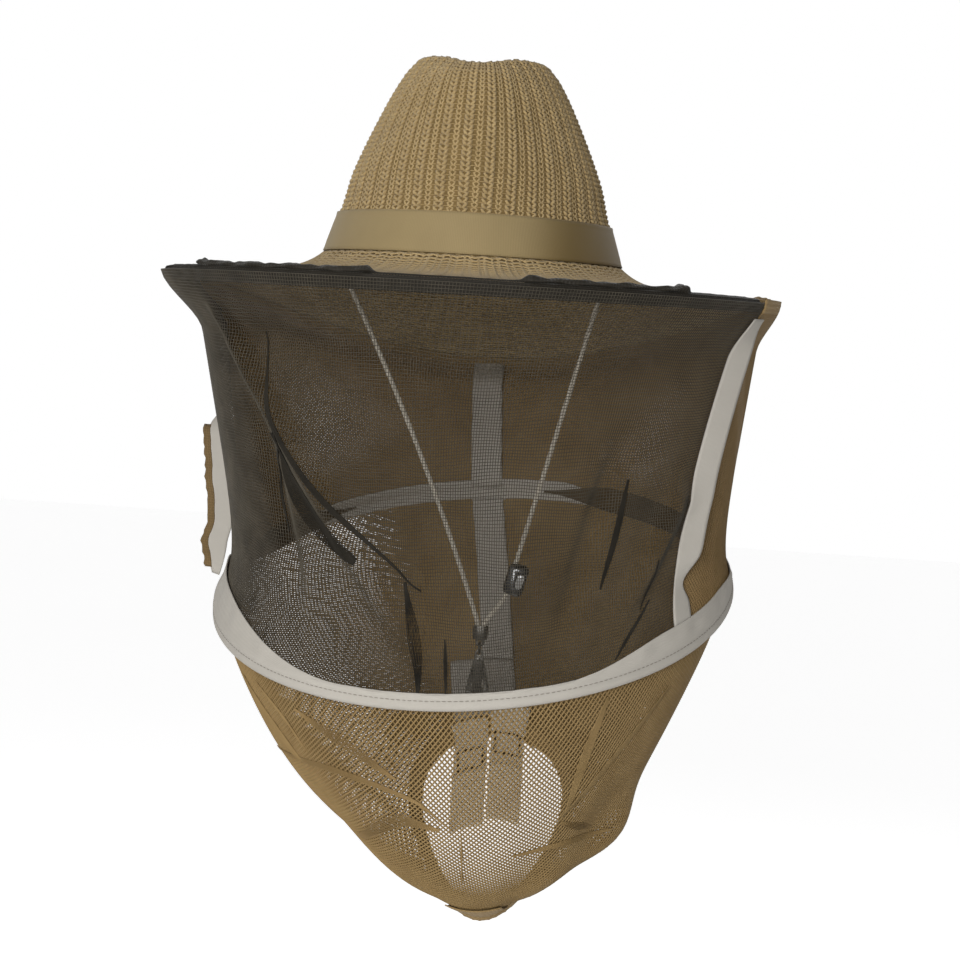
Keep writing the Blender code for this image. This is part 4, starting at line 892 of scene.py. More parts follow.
class CrownTop:
    """The dented top of the crown, as a height over its outline."""

    def __init__(self):
        rim = crown_side(rounds(720), CROWN_HEIGHT, -CROWN_WALL / 2)
        self.middle = rim.mean(axis=0)
        away = rim - self.middle
        order = np.argsort(np.arctan2(away[:, 0], -away[:, 1]))
        self.turns = np.arctan2(away[:, 0], -away[:, 1])[order]
        self.reach = np.hypot(away[:, 0], away[:, 1])[order]
        self.rise = away[order, 2]

    def share(self, x, y):
        """0 at the middle, 1 at the rim."""
        away_x, away_y = x - self.middle[0], y - self.middle[1]
        turn = np.arctan2(away_x, -away_y)
        return np.hypot(away_x, away_y) / np.interp(turn, self.turns, self.reach, period=TURN), turn

    def point(self, x, y, lift=0.0):
        share, turn = self.share(x, y)
        rise = np.interp(turn, self.turns, self.rise, period=TURN)
        return vectors(x, y, self.middle[2] + rise * share - CROWN_DENT * smooth(1 - share) + lift)


def rib_turn(angle, height):
    """Ribs bunch towards the sides higher up, so that they stay upright in front and behind."""
    return angle + RIB_BUNCH * smooth(height / CROWN_HEIGHT) * np.sin(2 * angle)


def crown_rows():
    """Yarn that runs round the crown, under its ribs."""
    count = int(KNIT_SLOPE * CROWN_HEIGHT / KNIT_ROW)
    round_hat = rounds(3 * KNIT_RIBS)
    lines = []
    for k in range(count + 1):
        height = np.full(len(round_hat), CROWN_HEIGHT * (k + 0.25) / (count + 0.25))
        lines.append((crown_side(round_hat, height, -CROWN_WALL / 2 - 0.1 * MM), True))
    return lines


def crown_ribs(first, width, proud):
    """Ribs up the crown, each of two yarns that spread and meet again at every row, as plaits do.

    First is the place of a rib among the main ones.
    """
    rows = int(KNIT_SLOPE * CROWN_HEIGHT / KNIT_ROW)
    beat = np.arange(4 * rows + 1)
    heights = CROWN_HEIGHT * beat / beat[-1]
    spread = np.array((0.12, 0.45, 0.80, 1.0))[beat % 4] * width
    rise = np.array((0.0, 0.45, 0.8, 0.15))[beat % 4] * proud
    reach = through(CROWN_STATIONS, heights)[0] * 1.08
    lines = []
    for k in range(KNIT_RIBS):
        middle = rib_turn(TURN * (k + first) / KNIT_RIBS - math.pi, heights)
        for side in (-1, 1):
            turn = middle + side * spread / np.sqrt(reach * reach[0])
            lines.append((crown_side(turn, heights, -CROWN_WALL / 2 + rise + 0.2 * MM), False))
    return lines


def crown_top_lines(top):
    """Yarn over the crown's top: ribs along it and rows across it."""
    lines = []
    length, width = 66 * MM, 40 * MM
    for k, x in enumerate(np.arange(-width, width, KNIT_COLUMN / 2)):
        y = np.arange(-length, length, KNIT_ROW / 2)
        sway = RIB_SWAY * np.cos(math.pi * np.arange(len(y)) / 2) * (1 if k % 2 == 0 else -0.7)
        inside = top.share(x + sway, y)[0] < 0.985
        if inside.sum() > 3:
            lines.append((top.point((x + sway)[inside], y[inside], 0.75 * MM), False))
    for y in np.arange(-length, length, KNIT_ROW):
        x = np.arange(-width, width, 2.6 * MM)
        inside = top.share(x, y)[0] < 0.985
        if inside.sum() > 3:
            lines.append((top.point(x[inside], np.full(inside.sum(), y), 0.2 * MM), False))
    return lines


def brim_knit():
    """The brim's yarn: rings round it and ribs across it."""
    reach = BRIM_HALF_WIDTH - CROWN_STATIONS[0][1]
    rows = int(reach / BRIM_ROW)
    round_hat = rounds(300)
    lines = []
    for k in range(rows + 1):
        share = np.full(len(round_hat), (k + 0.1) / (rows + 0.1))
        share = np.minimum(share + 0.006 * np.cos(60 * round_hat), 1.0)
        lines.append((brim_face(round_hat, share), True))
    steps = 2 * rows
    shares = np.linspace(0.0, 1.0, steps + 1)
    beat = np.cos(math.pi * np.arange(steps + 1))
    for k in range(BRIM_RIBS):
        sway = beat * 0.8 * RIB_SWAY / BRIM_MIDDLE * (1 if k % 2 == 0 else -0.7)
        angle = TURN * k / BRIM_RIBS + sway
        lines.append((brim_face(angle, shares), False))
    return lines


def crown_shell(top, finish):
    """The shell under the crown's knit, with its dented top."""
    heights = np.linspace(0, CROWN_HEIGHT, 40)
    angle = rounds(160)
    side = crown_side(angle[None, :], heights[:, None], -CROWN_WALL / 2)
    rim = side[-1]
    rings = []
    for share in np.linspace(0.93, 0.07, 12):
        ring = top.middle + (rim - top.middle) * share
        ring[:, 2] -= CROWN_DENT * smooth(1 - share)
        rings.append(ring)
    tip = top.middle - (0, 0, CROWN_DENT)
    return cloth("crown_shell", np.concatenate((side, rings)), finish, CROWN_SHELL, True, tip)


def band(name, foot, width, lift, finish, thickness, bead=0.0):
    """A band round the crown, with its edges turned into thin beads."""
    share = np.linspace(0, 1, 13)
    swell = bead * (np.exp(-(share / BEAD_SPREAD) ** 2) + np.exp(-((1 - share) / BEAD_SPREAD) ** 2))
    angle = rounds(220)
    grid = crown_side(angle[None, :], (foot + width * share)[:, None], (lift + swell)[:, None])
    return cloth(name, grid, finish, thickness, True)


class Hem:
    """Netting folded over the brim's edge and its wire, as a path round the edge."""

    def __init__(self):
        side = BRIM_THICKNESS / 2 + CLEARANCE + CLOTH / 2
        bend = BRIM_WIRE_RADIUS + CLEARANCE + CLOTH / 2
        reach = 2 * BRIM_WIRE_RADIUS + 2 * CLEARANCE + CLOTH / 2
        self.path = np.array(((side, TOP_HEM_ABOVE), (side, 0.4 * TOP_HEM_ABOVE), (side, -0.5 * bend),
                              (0.75 * side, -0.8 * reach), (0.0, -reach), (-0.75 * side, -0.8 * reach),
                              (-side, -0.5 * bend), (-side, TOP_HEM_BELOW)))
        steps = np.linalg.norm(np.diff(self.path, axis=0), axis=1)
        self.places = np.concatenate(([0.0], np.cumsum(steps)))
        self.length = self.places[-1]

    def point(self, angle, place):
        """A point at an angle and a length round the fold, from its upper edge."""
        edge, inward, up = brim_rim(angle)
        up_by = np.interp(place, self.places, self.path[:, 0])
        in_by = np.interp(place, self.places, self.path[:, 1])
        return edge + up * np.asarray(up_by)[..., None] + inward * np.asarray(in_by)[..., None]

    def lining(self, start, end, first=0.0):
        """A grid of the folded netting's inner layers, just inside its lattice, from a share of the fold."""
        angle = np.linspace(start, end, 200)
        places = np.linspace(first * self.length, self.length, 22)
        grid = self.point(np.broadcast_to(angle, (22, 200)), np.broadcast_to(places[:, None], (22, 200)))
        return grid + unit(brim_rim(angle)[1]) * (0.25 * MM)

    def lattice(self, start, end, pitch):
        """Lines of its netting, along the brim and round the fold."""
        span = (end - start) * BRIM_HALF_WIDTH
        along = np.linspace(start, end, int(span / (2 * pitch)))
        lines = []
        for place in np.arange(0, self.length, pitch):
            lines.append((self.point(along, np.full(len(along), place)), False))
        for angle in np.linspace(start, end, int(span / pitch)):
            places = np.linspace(0, self.length, 14)
            lines.append((self.point(np.full(14, angle), places), False))
        return lines


def hem_roll(name, start, end, finish, thick, lumps, flats=()):
    """The rolled, bunched netting along the hem: lumps give the angles of its knots."""
    angle = np.linspace(start, end, int((end - start) * BRIM_HALF_WIDTH / (1.2 * MM)))
    radius = np.full(len(angle), thick)
    for flat_start, flat_end in flats:
        within = smooth((angle - flat_start) / 0.03) * smooth((flat_end - angle) / 0.03)
        radius = radius * (1 - 0.75 * within)
    for place in lumps:
        radius = radius + 0.55 * thick * np.exp(-((angle - place) / 0.022) ** 2)
    radius = radius * (1 + 0.10 * np.sin(37 * angle) + 0.07 * np.sin(91 * angle + 1.3))
    taper = smooth((angle - start) / 0.05) * smooth((end - angle) / 0.05)
    radius = radius * (0.35 + 0.65 * taper)
    round_roll = np.linspace(0, TURN, 18, endpoint=False)
    edge, inward, up = brim_rim(angle)
    wander = 0.8 * MM * np.sin(23 * angle) + 0.5 * MM * np.sin(61 * angle)
    rise = BRIM_THICKNESS / 2 + CLOTH + 0.55 * radius
    middle = edge + up * rise[:, None] + inward * (1.5 * MM + wander)[:, None]
    turn = round_roll[:, None]
    ridges = 1 + 0.16 * np.sin(4 * turn + 46 * angle) + 0.10 * np.sin(7 * turn - 83 * angle)
    reach = radius * ridges
    grid = (middle + up * (0.75 * reach * np.sin(turn))[..., None]
            + inward * (1.25 * reach * np.cos(turn))[..., None])
    return closed_tube(name, grid.transpose(1, 0, 2), finish)


def closed_tube(name, grid, finish):
    """A tube through rings of points, closed at both ends."""
    obj = cloth(name, grid, finish, 0.0, True)
    shape = bmesh.new()
    shape.from_mesh(obj.data)
    bmesh.ops.holes_fill(shape, edges=shape.edges)
    bmesh.ops.recalc_face_normals(shape, faces=shape.faces)
    shape.to_mesh(obj.data)
    shape.free()
    return obj


# Netting

def waver(place, other, size):
    """Slack of the netting: small shifts that vary slowly along and across it."""
    return size * (np.sin(3.1 * place + 2.3 * other) + 0.6 * np.sin(7.7 * place - 5.1 * other + 1.0))


def front_lines(surface):
    """Woven netting of the front: threads along the brim, and threads down it."""
    width, height = FRONT_SIZE
    columns, rows = int(width / FRONT_PITCH), int(height / FRONT_PITCH)
    lines = []

    def thread(across, share):
        start, end = seam_angle(SEAM_LEFT, share), seam_angle(SEAM_RIGHT, share)
        slack = waver(6 * across, 4 * share, FRONT_SLACK) * smooth(share / 0.2) * smooth((1 - share) / 0.2)
        return surface(start + (end - start) * across, share + slack)

    along = np.linspace(0, 1, int(width / STRAND_STEP) + 1)
    for share in np.linspace(0.0, 1.0, rows):
        lines.append((thread(along, np.full(len(along), share)), False))
    down = np.linspace(0.0, 1.0, int(FRONT_THREAD / STRAND_STEP) + 1)
    for across in np.linspace(0, 1, columns):
        lines.append((thread(np.full(len(down), across), down), False))
    return lines


def rear_lines(surface):
    """Netting of the rear, cut on the bias: two sets of slanted threads."""
    width, height = REAR_SIZE
    slant = height / width
    spread = REAR_PITCH * math.sqrt(2) / width
    lines = []
    for side in (-1, 1):
        for first in np.arange(-slant, 1 + slant, spread):
            share = np.linspace(0, 1.0, int(1.45 * height / STRAND_STEP) + 1)
            across = first + side * slant * share
            within = (across > 0) & (across < 1)
            if within.sum() < 3:
                continue
            across, share = across[within], share[within]
            start = seam_angle(SEAM_RIGHT, share)
            end = seam_angle(SEAM_LEFT, share) + TURN
            lines.append((surface(start + (end - start) * across, share), False))
    return lines


def runs(marks):
    """The stretches of a row of marks that are set, as lists of places."""
    places = np.flatnonzero(marks)
    return [run for run in np.split(places, np.flatnonzero(np.diff(places) > 1) + 1) if len(run) > 2]


def pouch_lines(surface):
    """Netting of the pouch on the bias, with an even pitch all over it, gathered closer behind."""
    shares = np.linspace(*POUCH_SHARES, int(POUCH_HEIGHT / POUCH_STEP) + 1)
    angles = np.linspace(-math.pi, math.pi, 361)
    gaps = np.linalg.norm(np.diff(surface(angles[None, :], shares[:, None]), axis=1), axis=2)
    around = np.concatenate((np.zeros((len(shares), 1)), np.cumsum(gaps, axis=1)), axis=1)
    front = len(angles) // 2
    around -= around[:, front:front + 1]
    lines = []
    for side in (-1, 1):
        slanted = around - side * POUCH_HEIGHT * shares[:, None]
        for k, place in enumerate(np.arange(slanted.min(), slanted.max(), POUCH_PITCH / math.sqrt(2))):
            angle = np.array([np.interp(place, row, angles) for row in slanted])
            within = (place > slanted[:, 0]) & (place < slanted[:, -1])
            if k % 2 == 1:
                reach = POUCH_CLOSE[1] + POUCH_CLOSE_RAGGED * math.sin(2.4 * k)
                within &= np.cos(angle - POUCH_CLOSE[0]) > math.cos(reach)
            for run in runs(within):
                lines.append((surface(angle[run], shares[run]), False))
    return lines


def crease_lines(surface, creases, height, lift):
    """Threads bunched along creases, which spread in the middle of each and meet at its ends."""
    lines = []
    for path, width, threads in creases:
        line = smooth_line(np.array(path) * (math.radians(1) * HOOP_RADIUS, height), CREASE_STEPS)
        along = unit(np.gradient(line, axis=0))
        aside = np.stack((along[:, 1], -along[:, 0]), axis=-1)
        spread = width * (0.2 + 0.8 * np.sin(np.linspace(0.0, math.pi, CREASE_STEPS)))
        for place in np.linspace(-0.5, 0.5, threads):
            thread = line + aside * (place * spread)[:, None]
            lines.append((lifted(surface, thread[:, 0] / HOOP_RADIUS, thread[:, 1] / height, lift), False))
    return lines


# Tapes, hoop and straps

def tape_grid(surface, seam, width, shares, lift, columns=9):
    """A grid of a tape that lies along a seam, with the same width all the way."""
    middle = seam_angle(seam, shares)
    step = 0.01
    aside = surface(middle + step, shares) - surface(middle - step, shares)
    stretch = np.linalg.norm(aside, axis=-1) / (2 * step)
    across = np.linspace(-0.5, 0.5, columns)
    angle = middle[:, None] + across * (width / stretch)[:, None]
    return lifted(surface, angle, shares[:, None], lift)


def left_tape_grid():
    """The left tape, which stands out from the netting on its front edge over its lower part."""
    shares = np.linspace(SEAM_TAPE_TOP, 0.96, 80)
    over_hoop_tape = 2.4 * MM * smooth((shares - 0.78) / 0.08)
    grid = tape_grid(veil_wall, SEAM_LEFT, SEAM_TAPE_WIDTH, shares, (TAPE_LIFT + over_hoop_tape)[:, None])
    start, end = LEFT_TAPE_LOOSE
    loose = smooth((shares - start) / LOOSE_EASE) * smooth((end - shares) / LOOSE_EASE)
    crumple = 1 + 0.03 * np.sin(31 * shares) + 0.02 * np.sin(67 * shares + 1)
    crumple = crumple - 0.45 * smooth((shares - 0.84) / 0.12)
    last = grid.shape[1] - 1
    away = outward(SEAM_LEFT[2]) * LEFT_TAPE_REACH
    for column in range(last):
        part = (last - column) / last
        standing = grid[:, last] + away * (part * crumple)[:, None]
        grid[:, column] += (standing - grid[:, column]) * loose[:, None]
    return grid, loose


def top_turning():
    """A grid of the front's upper edge, turned in behind it, deeper towards its left seam."""
    angle = np.linspace(SEAM_LEFT[0] + 0.01, SEAM_RIGHT[0] - 0.01, 160)
    depth = 0.03 + 0.09 * smooth((math.radians(-82) - angle) / 0.2)
    return lifted(veil_wall, angle, np.linspace(0.0, 1.0, 6)[:, None] * depth, -0.9 * MM)


def tape_selvage(grid, width):
    """A grid of the netting's raw edge, which shows past a tape's first edge."""
    rows = np.arange(len(grid))
    ragged = width * (1 + 0.08 * np.sin(1.9 * rows) + 0.06 * np.sin(4.1 * rows))
    away = unit(grid[:, 0] - grid[:, 1])
    columns = [grid[:, 0] + away * (ragged * part)[:, None] for part in np.linspace(-0.2, 1, 5)]
    return np.stack(columns, axis=1)


def right_tape_grid():
    """The right tape, which faces the front and twists over once above the hoop."""
    shares = np.linspace(SEAM_TAPE_TOP, hoop_tape_share(SEAM_RIGHT[2]), 90)
    grid = tape_grid(veil_wall, SEAM_RIGHT, SEAM_TAPE_WIDTH, shares, TAPE_LIFT)
    start, end = RIGHT_TAPE_LOOSE
    loose = smooth((shares - start) / LOOSE_EASE) * smooth((end - shares) / LOOSE_EASE)
    turn = -RIGHT_TAPE_TURN * loose
    away = grid - grid[:, :1]
    cosine, sine = np.cos(turn)[:, None], np.sin(turn)[:, None]
    flat = np.stack((away[..., 0] * cosine - away[..., 1] * sine, away[..., 0] * sine + away[..., 1] * cosine,
                     away[..., 2]), axis=-1)
    narrow = 1 - 0.55 * np.exp(-((shares - 0.82) / 0.05) ** 2)
    return grid[:, :1] + flat * narrow[:, None, None]


def hoop_tape_share(angle):
    """The share of the veil at which the hoop's tape ends, which is higher up at its rises."""
    facing = (angle + math.pi) % TURN - math.pi
    reach = HOOP_TAPE_REACH
    for start, full, falling, end, rise in HOOP_TAPE_RISES:
        up = smooth((facing - start) / (full - start))
        down = smooth((end - facing) / (end - falling))
        reach = reach + rise * up * down
    height = np.linalg.norm(veil_wall(angle, 1.0) - veil_wall(angle, 0.0), axis=-1)
    return 1 - reach / height


def hoop_tape_grid():
    """White tape folded round the hoop: outer side up the netting, bead round the wire, inner side."""
    angle = rounds(360)
    bead = HOOP_WIRE_RADIUS + 1.4 * CLEARANCE + CLOTH / 2
    side = NET / 2 + CLEARANCE + HOOP_TAPE_EASE + CLOTH / 2
    neck = 1.4 * bead
    normal = turned(vectors(0, 0, 1), HOOP_PITCH, HOOP_ROLL)
    away = turned(outward(angle), HOOP_PITCH, HOOP_ROLL)
    ring = hoop_ring(angle)
    top = hoop_tape_share(angle)
    rows = []
    for part in np.linspace(1, 0, 10):
        ripple = 0.30 * MM * np.sin(29 * angle) + 0.22 * MM * np.sin(53 * angle + 1.1)
        rows.append(lifted(veil_wall, angle, 1 + (top - 1) * part, side + ripple * math.sin(math.pi * part)))
    for rise in np.linspace(HOOP_TAPE_OUTSIDE, neck, 4)[1:]:
        rows.append(ring + away * side + normal * rise)
    for turn in np.radians(np.linspace(45, -225, 15)):
        rows.append(ring + away * (bead * math.cos(turn)) + normal * (bead * math.sin(turn)))
    for rise in np.linspace(neck, HOOP_TAPE_INSIDE, 4):
        rows.append(ring - away * side + normal * rise)
    start, end = HOOP_TAPE_BEHIND
    least, further = HOOP_TAPE_BACK
    behind = least + further * smooth((angle % TURN - start) / 0.2) * smooth((end - angle % TURN) / 0.2)
    height = np.linalg.norm(veil_wall(angle, 1.0) - veil_wall(angle, 0.0), axis=-1)
    for part in np.linspace(0, 1, 6)[1:]:
        rows.append(lifted(veil_wall, angle, 1 - behind * part / height, -side))
    groove = ring + away * (side + CLOTH / 2 + 0.1 * MM) + normal * (neck + 0.5 * MM)
    return np.array(rows), [(groove, True)]


def hoop_seam_grid(start, end):
    """The netting's folded edge, inside along the hoop."""
    angle = np.linspace(start, end, 60)
    height = np.linalg.norm(veil_wall(angle, 1.0) - veil_wall(angle, 0.0), axis=-1)
    taper = smooth(np.minimum(angle - start, end - angle) / 0.35)
    depth = HOOP_SEAM * (0.1 + 0.9 * taper)
    above = lifted(veil_wall, angle, 1 - np.linspace(1.0, 0.0, 5)[:, None] * depth / height, -2.2 * MM)
    fall = (HOOP_TAPE_INSIDE + 2 * MM) * taper
    levels = HOOP_TAPE_INSIDE - np.linspace(0.0, 1.0, 4)[:, None] * fall
    inner = hoop_ring(angle, -HOOP_WIRE_RADIUS - 3 * MM, levels)
    return np.concatenate((above, inner))


def casing_grid():
    """The gathered casing folded round the hem's elastic."""
    angle = rounds(360)
    wall = -wall_into_hem(angle)
    ring = hem_ring(angle)
    along = hem_ring(angle + 0.01) - hem_ring(angle - 0.01)
    across = unit(np.cross(along, wall))
    bead = HEM_ELASTIC_RADIUS + 1.4 * CLEARANCE + CLOTH / 2
    side = NET / 2 + CLEARANCE + CLOTH / 2
    neck = 1.3 * bead
    ruffle = 0.55 * MM * np.sin(46 * angle) + 0.3 * MM * np.sin(71 * angle + 0.7)
    rows = []
    for share in np.linspace(1, 0, 6):
        out = side + np.maximum(ruffle, -0.2 * MM) * math.sin(math.pi * (0.15 + 0.85 * share))
        rows.append(ring + across * out[:, None] + wall * (neck + (HEM_CASING_HEIGHT - neck) * share))
    for turn in np.radians(np.linspace(45, -225, 13)):
        swell = bead + np.maximum(0.4 * ruffle, 0.0)
        aside, up = swell * math.cos(turn), swell * math.sin(turn)
        rows.append(ring + across * aside[:, None] + wall * up[:, None])
    for share in np.linspace(0, 1, 4):
        rows.append(ring - across * side + wall * (neck + (HEM_CASING_HEIGHT - neck) * share))
    return np.array(rows)


def strap_line(angle, drop):
    """A line along a strap: down the patch, past the hem, round a fold and up again."""
    hem = hem_ring(angle)
    wall = -wall_into_hem(angle)
    inner = unit(np.cross(wall, hem_ring(angle + 0.01) - hem_ring(angle - 0.01)))
    inner = -inner if inner @ outward(angle) > 0 else inner
    off_patch = TAPE_LIFT + TAPE_THICKNESS / 2 + CLEARANCE + STRAP_THICKNESS / 2 + STRAP_EASE
    off_hem = HEM_ELASTIC_RADIUS + CLEARANCE + CLOTH + CLEARANCE + STRAP_THICKNESS / 2 + STRAP_EASE
    line = [hem + wall * (STRAP_SEWN - drop) + inner * off_patch, hem + wall * STRAP_BEND + inner * off_patch,
            hem + wall * 2 * MM + inner * off_hem]
    line.append(line[-1] + (0.0, -2.0 * MM, -0.3 * STRAP_LENGTH))
    foot = line[-2] + (0.0, -3.0 * MM, -STRAP_LENGTH - 0.4 * drop)
    line.append(foot)
    middle = foot + (0.0, -STRAP_FOLD_RADIUS, 0.0)
    for k in range(1, 5):
        turn = math.pi * k / 4
        line.append(middle + np.array((0.0, math.cos(turn), -math.sin(turn))) * STRAP_FOLD_RADIUS)
    line.append(line[-1] + (0.0, 1.2 * MM, 0.66 * STRAP_LENGTH))
    return np.array(line)


def strap_grid(offset, drop, columns=9):
    """A grid of a strap, from lines side by side across it."""
    across = offset + np.linspace(-0.5, 0.5, columns) * STRAP_WIDTH
    back_half = HEM_HALF_WIDTH * (1 + HEM_TAPER)
    lines = [strap_line(math.pi - math.asin(place / back_half), drop) for place in across]
    return np.stack([smooth_line(line, 90) for line in lines], axis=1)


def box_stitch(grid, first, last):
    """A rectangle of sewing on a strap's grid, between two of its rows, on the side that faces in."""
    left, right = 1, grid.shape[1] - 2
    face = unit(np.cross(grid[first + 1, 4] - grid[first, 4], grid[first, 5] - grid[first, 4]))
    face = face if face[1] < 0 else -face
    path = [grid[first, column] for column in range(left, right + 1)]
    path += [grid[row, right] for row in range(first, last)]
    path += [grid[last, column] for column in range(right, left - 1, -1)]
    path += [grid[row, left] for row in range(last, first, -1)]
    return [(np.array(path) + face * (STRAP_THICKNESS / 2 + 0.15 * MM), True)]


# Chin cord

def tab_line(side):
    """The points that a cord's tab runs through, from inside the crown to below it."""
    inside = -(CROWN_WALL + 2 * CLEARANCE + BAND_EASE + SWEATBAND_THICKNESS + TAB_THICKNESS / 2 + 0.6 * MM)
    places = [crown_side(side * math.pi / 2, height, inside) for height in (TAB_LENGTH, TAB_BEND)]
    places.append(np.array((side * CORD_TAB_REACH[side], 0.0, -CORD_TAB_DROP)))
    return places


def cord_start(side):
    """Where a cord begins on its tab, and where it leaves the tab."""
    bend, foot = tab_line(side)[1:]
    run = unit(foot - bend)
    inner = np.array((run[2], 0.0, -run[0])) * side
    off = inner * (TAB_THICKNESS / 2 + CLEARANCE + CORD_RADIUS + 0.2 * MM)
    return bend + run * 4 * MM + off, foot + off


def cord_line(side):
    """The points that a leg of the cord runs through, from its tab into the crimp."""
    start, leaves = cord_start(side)
    mouth = CRIMP_TOP + (side * CRIMP_CORD_SPREAD, 0.0, 1.5 * MM)
    end = mouth - (0, 0, CRIMP_HEIGHT - 1 * MM)
    if side > 0:
        run = unit(LOCK_PLACE - leaves)
        return np.array([start, leaves, LOCK_PLACE + run * LOCK_BEND, mouth, end])
    line = [start]
    for share in np.arange(CORD_POINTS) / CORD_POINTS:
        line.append(leaves + (mouth - leaves) * share + (4 * CORD_BOW * share * (1 - share), 0, 0))
    return np.array(line + [mouth, end])


def twisted(path, plies, radius, pitch):
    """Lines of the plies that twist round a path."""
    gaps = np.linalg.norm(np.diff(path, axis=0), axis=1)
    along = np.concatenate(([0.0], np.cumsum(gaps)))
    tangent = unit(np.gradient(path, axis=0))
    first = unit(np.cross(tangent, vectors(0, 1, 0)))
    second = np.cross(tangent, first)
    lines = []
    for k in range(plies):
        turn = TURN * (along / pitch + k / plies)
        away = first * np.cos(turn)[:, None] + second * np.sin(turn)[:, None]
        lines.append((path + radius * away, False))
    return lines


def even_line(points, step):
    """Points at even steps along straight runs, with the corners eased."""
    gaps = np.linalg.norm(np.diff(points, axis=0), axis=1)
    along = np.concatenate(([0.0], np.cumsum(gaps)))
    places = np.linspace(0, along[-1], int(along[-1] / step))
    line = np.stack([np.interp(places, along, points[:, k]) for k in range(3)], axis=-1)
    for _ in range(6):
        line[1:-1] = 0.25 * line[:-2] + 0.5 * line[1:-1] + 0.25 * line[2:]
    return line


# Rigid pieces

def softened(node, finish):
    """A copy of a rigid piece with eased edges and smooth round faces, in its place."""
    mesh = node.data.copy()
    shape = bmesh.new()
    shape.from_mesh(mesh)
    bmesh.ops.remove_doubles(shape, verts=shape.verts, dist=1e-6)
    bmesh.ops.dissolve_limit(shape, angle_limit=math.radians(1), verts=shape.verts, edges=shape.edges)
    shape.to_mesh(mesh)
    shape.free()
    mesh.materials.clear()
    mesh.materials.append(finish)
    obj = add_object(node.name + "_fine", mesh)
    bevel = obj.modifiers.new("eased edges", "BEVEL")
    bevel.width = EASED_EDGE
    bevel.segments = 2
    bevel.limit_method = "ANGLE"
    bevel.angle_limit = SHARP_ANGLE
    made_real(obj)
    obj.data.shade_smooth()
    obj.data.set_sharp_from_angle(angle=SHARP_ANGLE)
    return obj


# Stage

def pale_floor():
    """A pale floor that is as white as the backdrop to the camera and in reflections, but for its shadow."""
    finish = Finish("pale floor", roughness=0.95, emission_strength=1.0)
    finish.feed("Base Color", finish.blend(finish.noise(0.8), (0.90, 0.90, 0.90, 1), (0.93, 0.93, 0.93, 1)))
    camera = finish.add("ShaderNodeLightPath", output="Is Camera Ray")
    seen = camera + camera.beside("Is Glossy Ray") + camera.beside("Is Transmission Ray")
    finish.feed("Emission Color", finish.blend(seen, (0, 0, 0, 1), FLOOR_GLOW))
    return finish.material


def build_stage():
    floor = bpy.data.meshes.new("floor")
    shape = bmesh.new()
    bmesh.ops.create_grid(shape, x_segments=1, y_segments=1, size=FLOOR_HALF_WIDTH,
                          matrix=Matrix.Translation((0, 0, FLOOR_LEVEL)))
    shape.to_mesh(floor)
    shape.free()
    floor.materials.append(pale_floor())
    add_object("floor", floor)


def build_world():
    """White to the camera and in reflections, and dimmer as a light."""
    world = bpy.data.worlds.new("studio")
    bpy.context.scene.world = world
    world.use_nodes = True
    nodes, links = world.node_tree.nodes, world.node_tree.links
    path = nodes.new("ShaderNodeLightPath")
    seen = nodes.new("ShaderNodeMath")
    seen.operation = "MAXIMUM"
    links.new(path.outputs["Is Camera Ray"], seen.inputs[0])
    links.new(path.outputs["Is Glossy Ray"], seen.inputs[1])
    strength = nodes.new("ShaderNodeMapRange")
    links.new(seen.outputs[0], strength.inputs["Value"])
    strength.inputs["To Min"].default_value = WORLD_LIGHT
    strength.inputs["To Max"].default_value = 1.0
    background = nodes["Background"]
    background.inputs["Color"].default_value = (1, 1, 1, 1)
    links.new(strength.outputs["Result"], background.inputs["Strength"])


def build_lamps():
    """Square lamps that face the hat."""
    for name, place, size, power in LAMPS:
        lamp = bpy.data.lights.new(name, "AREA")
        lamp.size = size
        lamp.energy = power
        obj = bpy.data.objects.new(name, lamp)
        obj.location = place
        obj.rotation_euler = (CAMERA_LOOKS_AT - obj.location).to_track_quat("-Z", "Y").to_euler()
        bpy.context.scene.collection.objects.link(obj)


def build_camera():
    """The camera that stands where the photograph was taken from."""
    turn, down, roll = CAMERA_TURN, CAMERA_DOWN, CAMERA_ROLL
    ahead = Vector((-math.sin(turn) * math.cos(down), math.cos(turn) * math.cos(down), -math.sin(down)))
    level = Vector((math.cos(turn), math.sin(turn), 0.0))
    upright = level.cross(ahead)
    right = level * math.cos(roll) + upright * math.sin(roll)
    up = upright * math.cos(roll) - level * math.sin(roll)
    lens = bpy.data.cameras.new("camera")
    lens.sensor_width = CAMERA_SENSOR
    lens.lens = CAMERA_LENS
    camera = bpy.data.objects.new("camera", lens)
    frame_matrix = Matrix((right, up, -ahead)).transposed().to_4x4()
    frame_matrix.translation = CAMERA_LOOKS_AT - ahead * CAMERA_DISTANCE
    camera.matrix_world = frame_matrix
    bpy.context.scene.collection.objects.link(camera)
    bpy.context.scene.camera = camera


# Assembly

def settle(obj, body, slot, *nodes):
    """Ride a piece on a body, in place of the part's nodes."""
    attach(obj, body)
    if nodes:
        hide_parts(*nodes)
    return obj


def hang(obj, slot, *nodes):
    """A piece of the veil, with its transform baked into its mesh, in place of the part's nodes."""
    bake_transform(obj)
    if nodes:
        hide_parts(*nodes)
    return obj


def knit(strands, name, lines, finish, radius):
    """Yarn along lines."""
    return strands.apply(name, lines, finish, Radius=radius, Sides=YARN_SIDES, Caps=False)


def net(strands, name, lines, finish, radius, caps=False):
    """Netting's threads along lines."""
    return strands.apply(name, lines, finish, Radius=radius, Sides=STRAND_SIDES, Caps=caps)


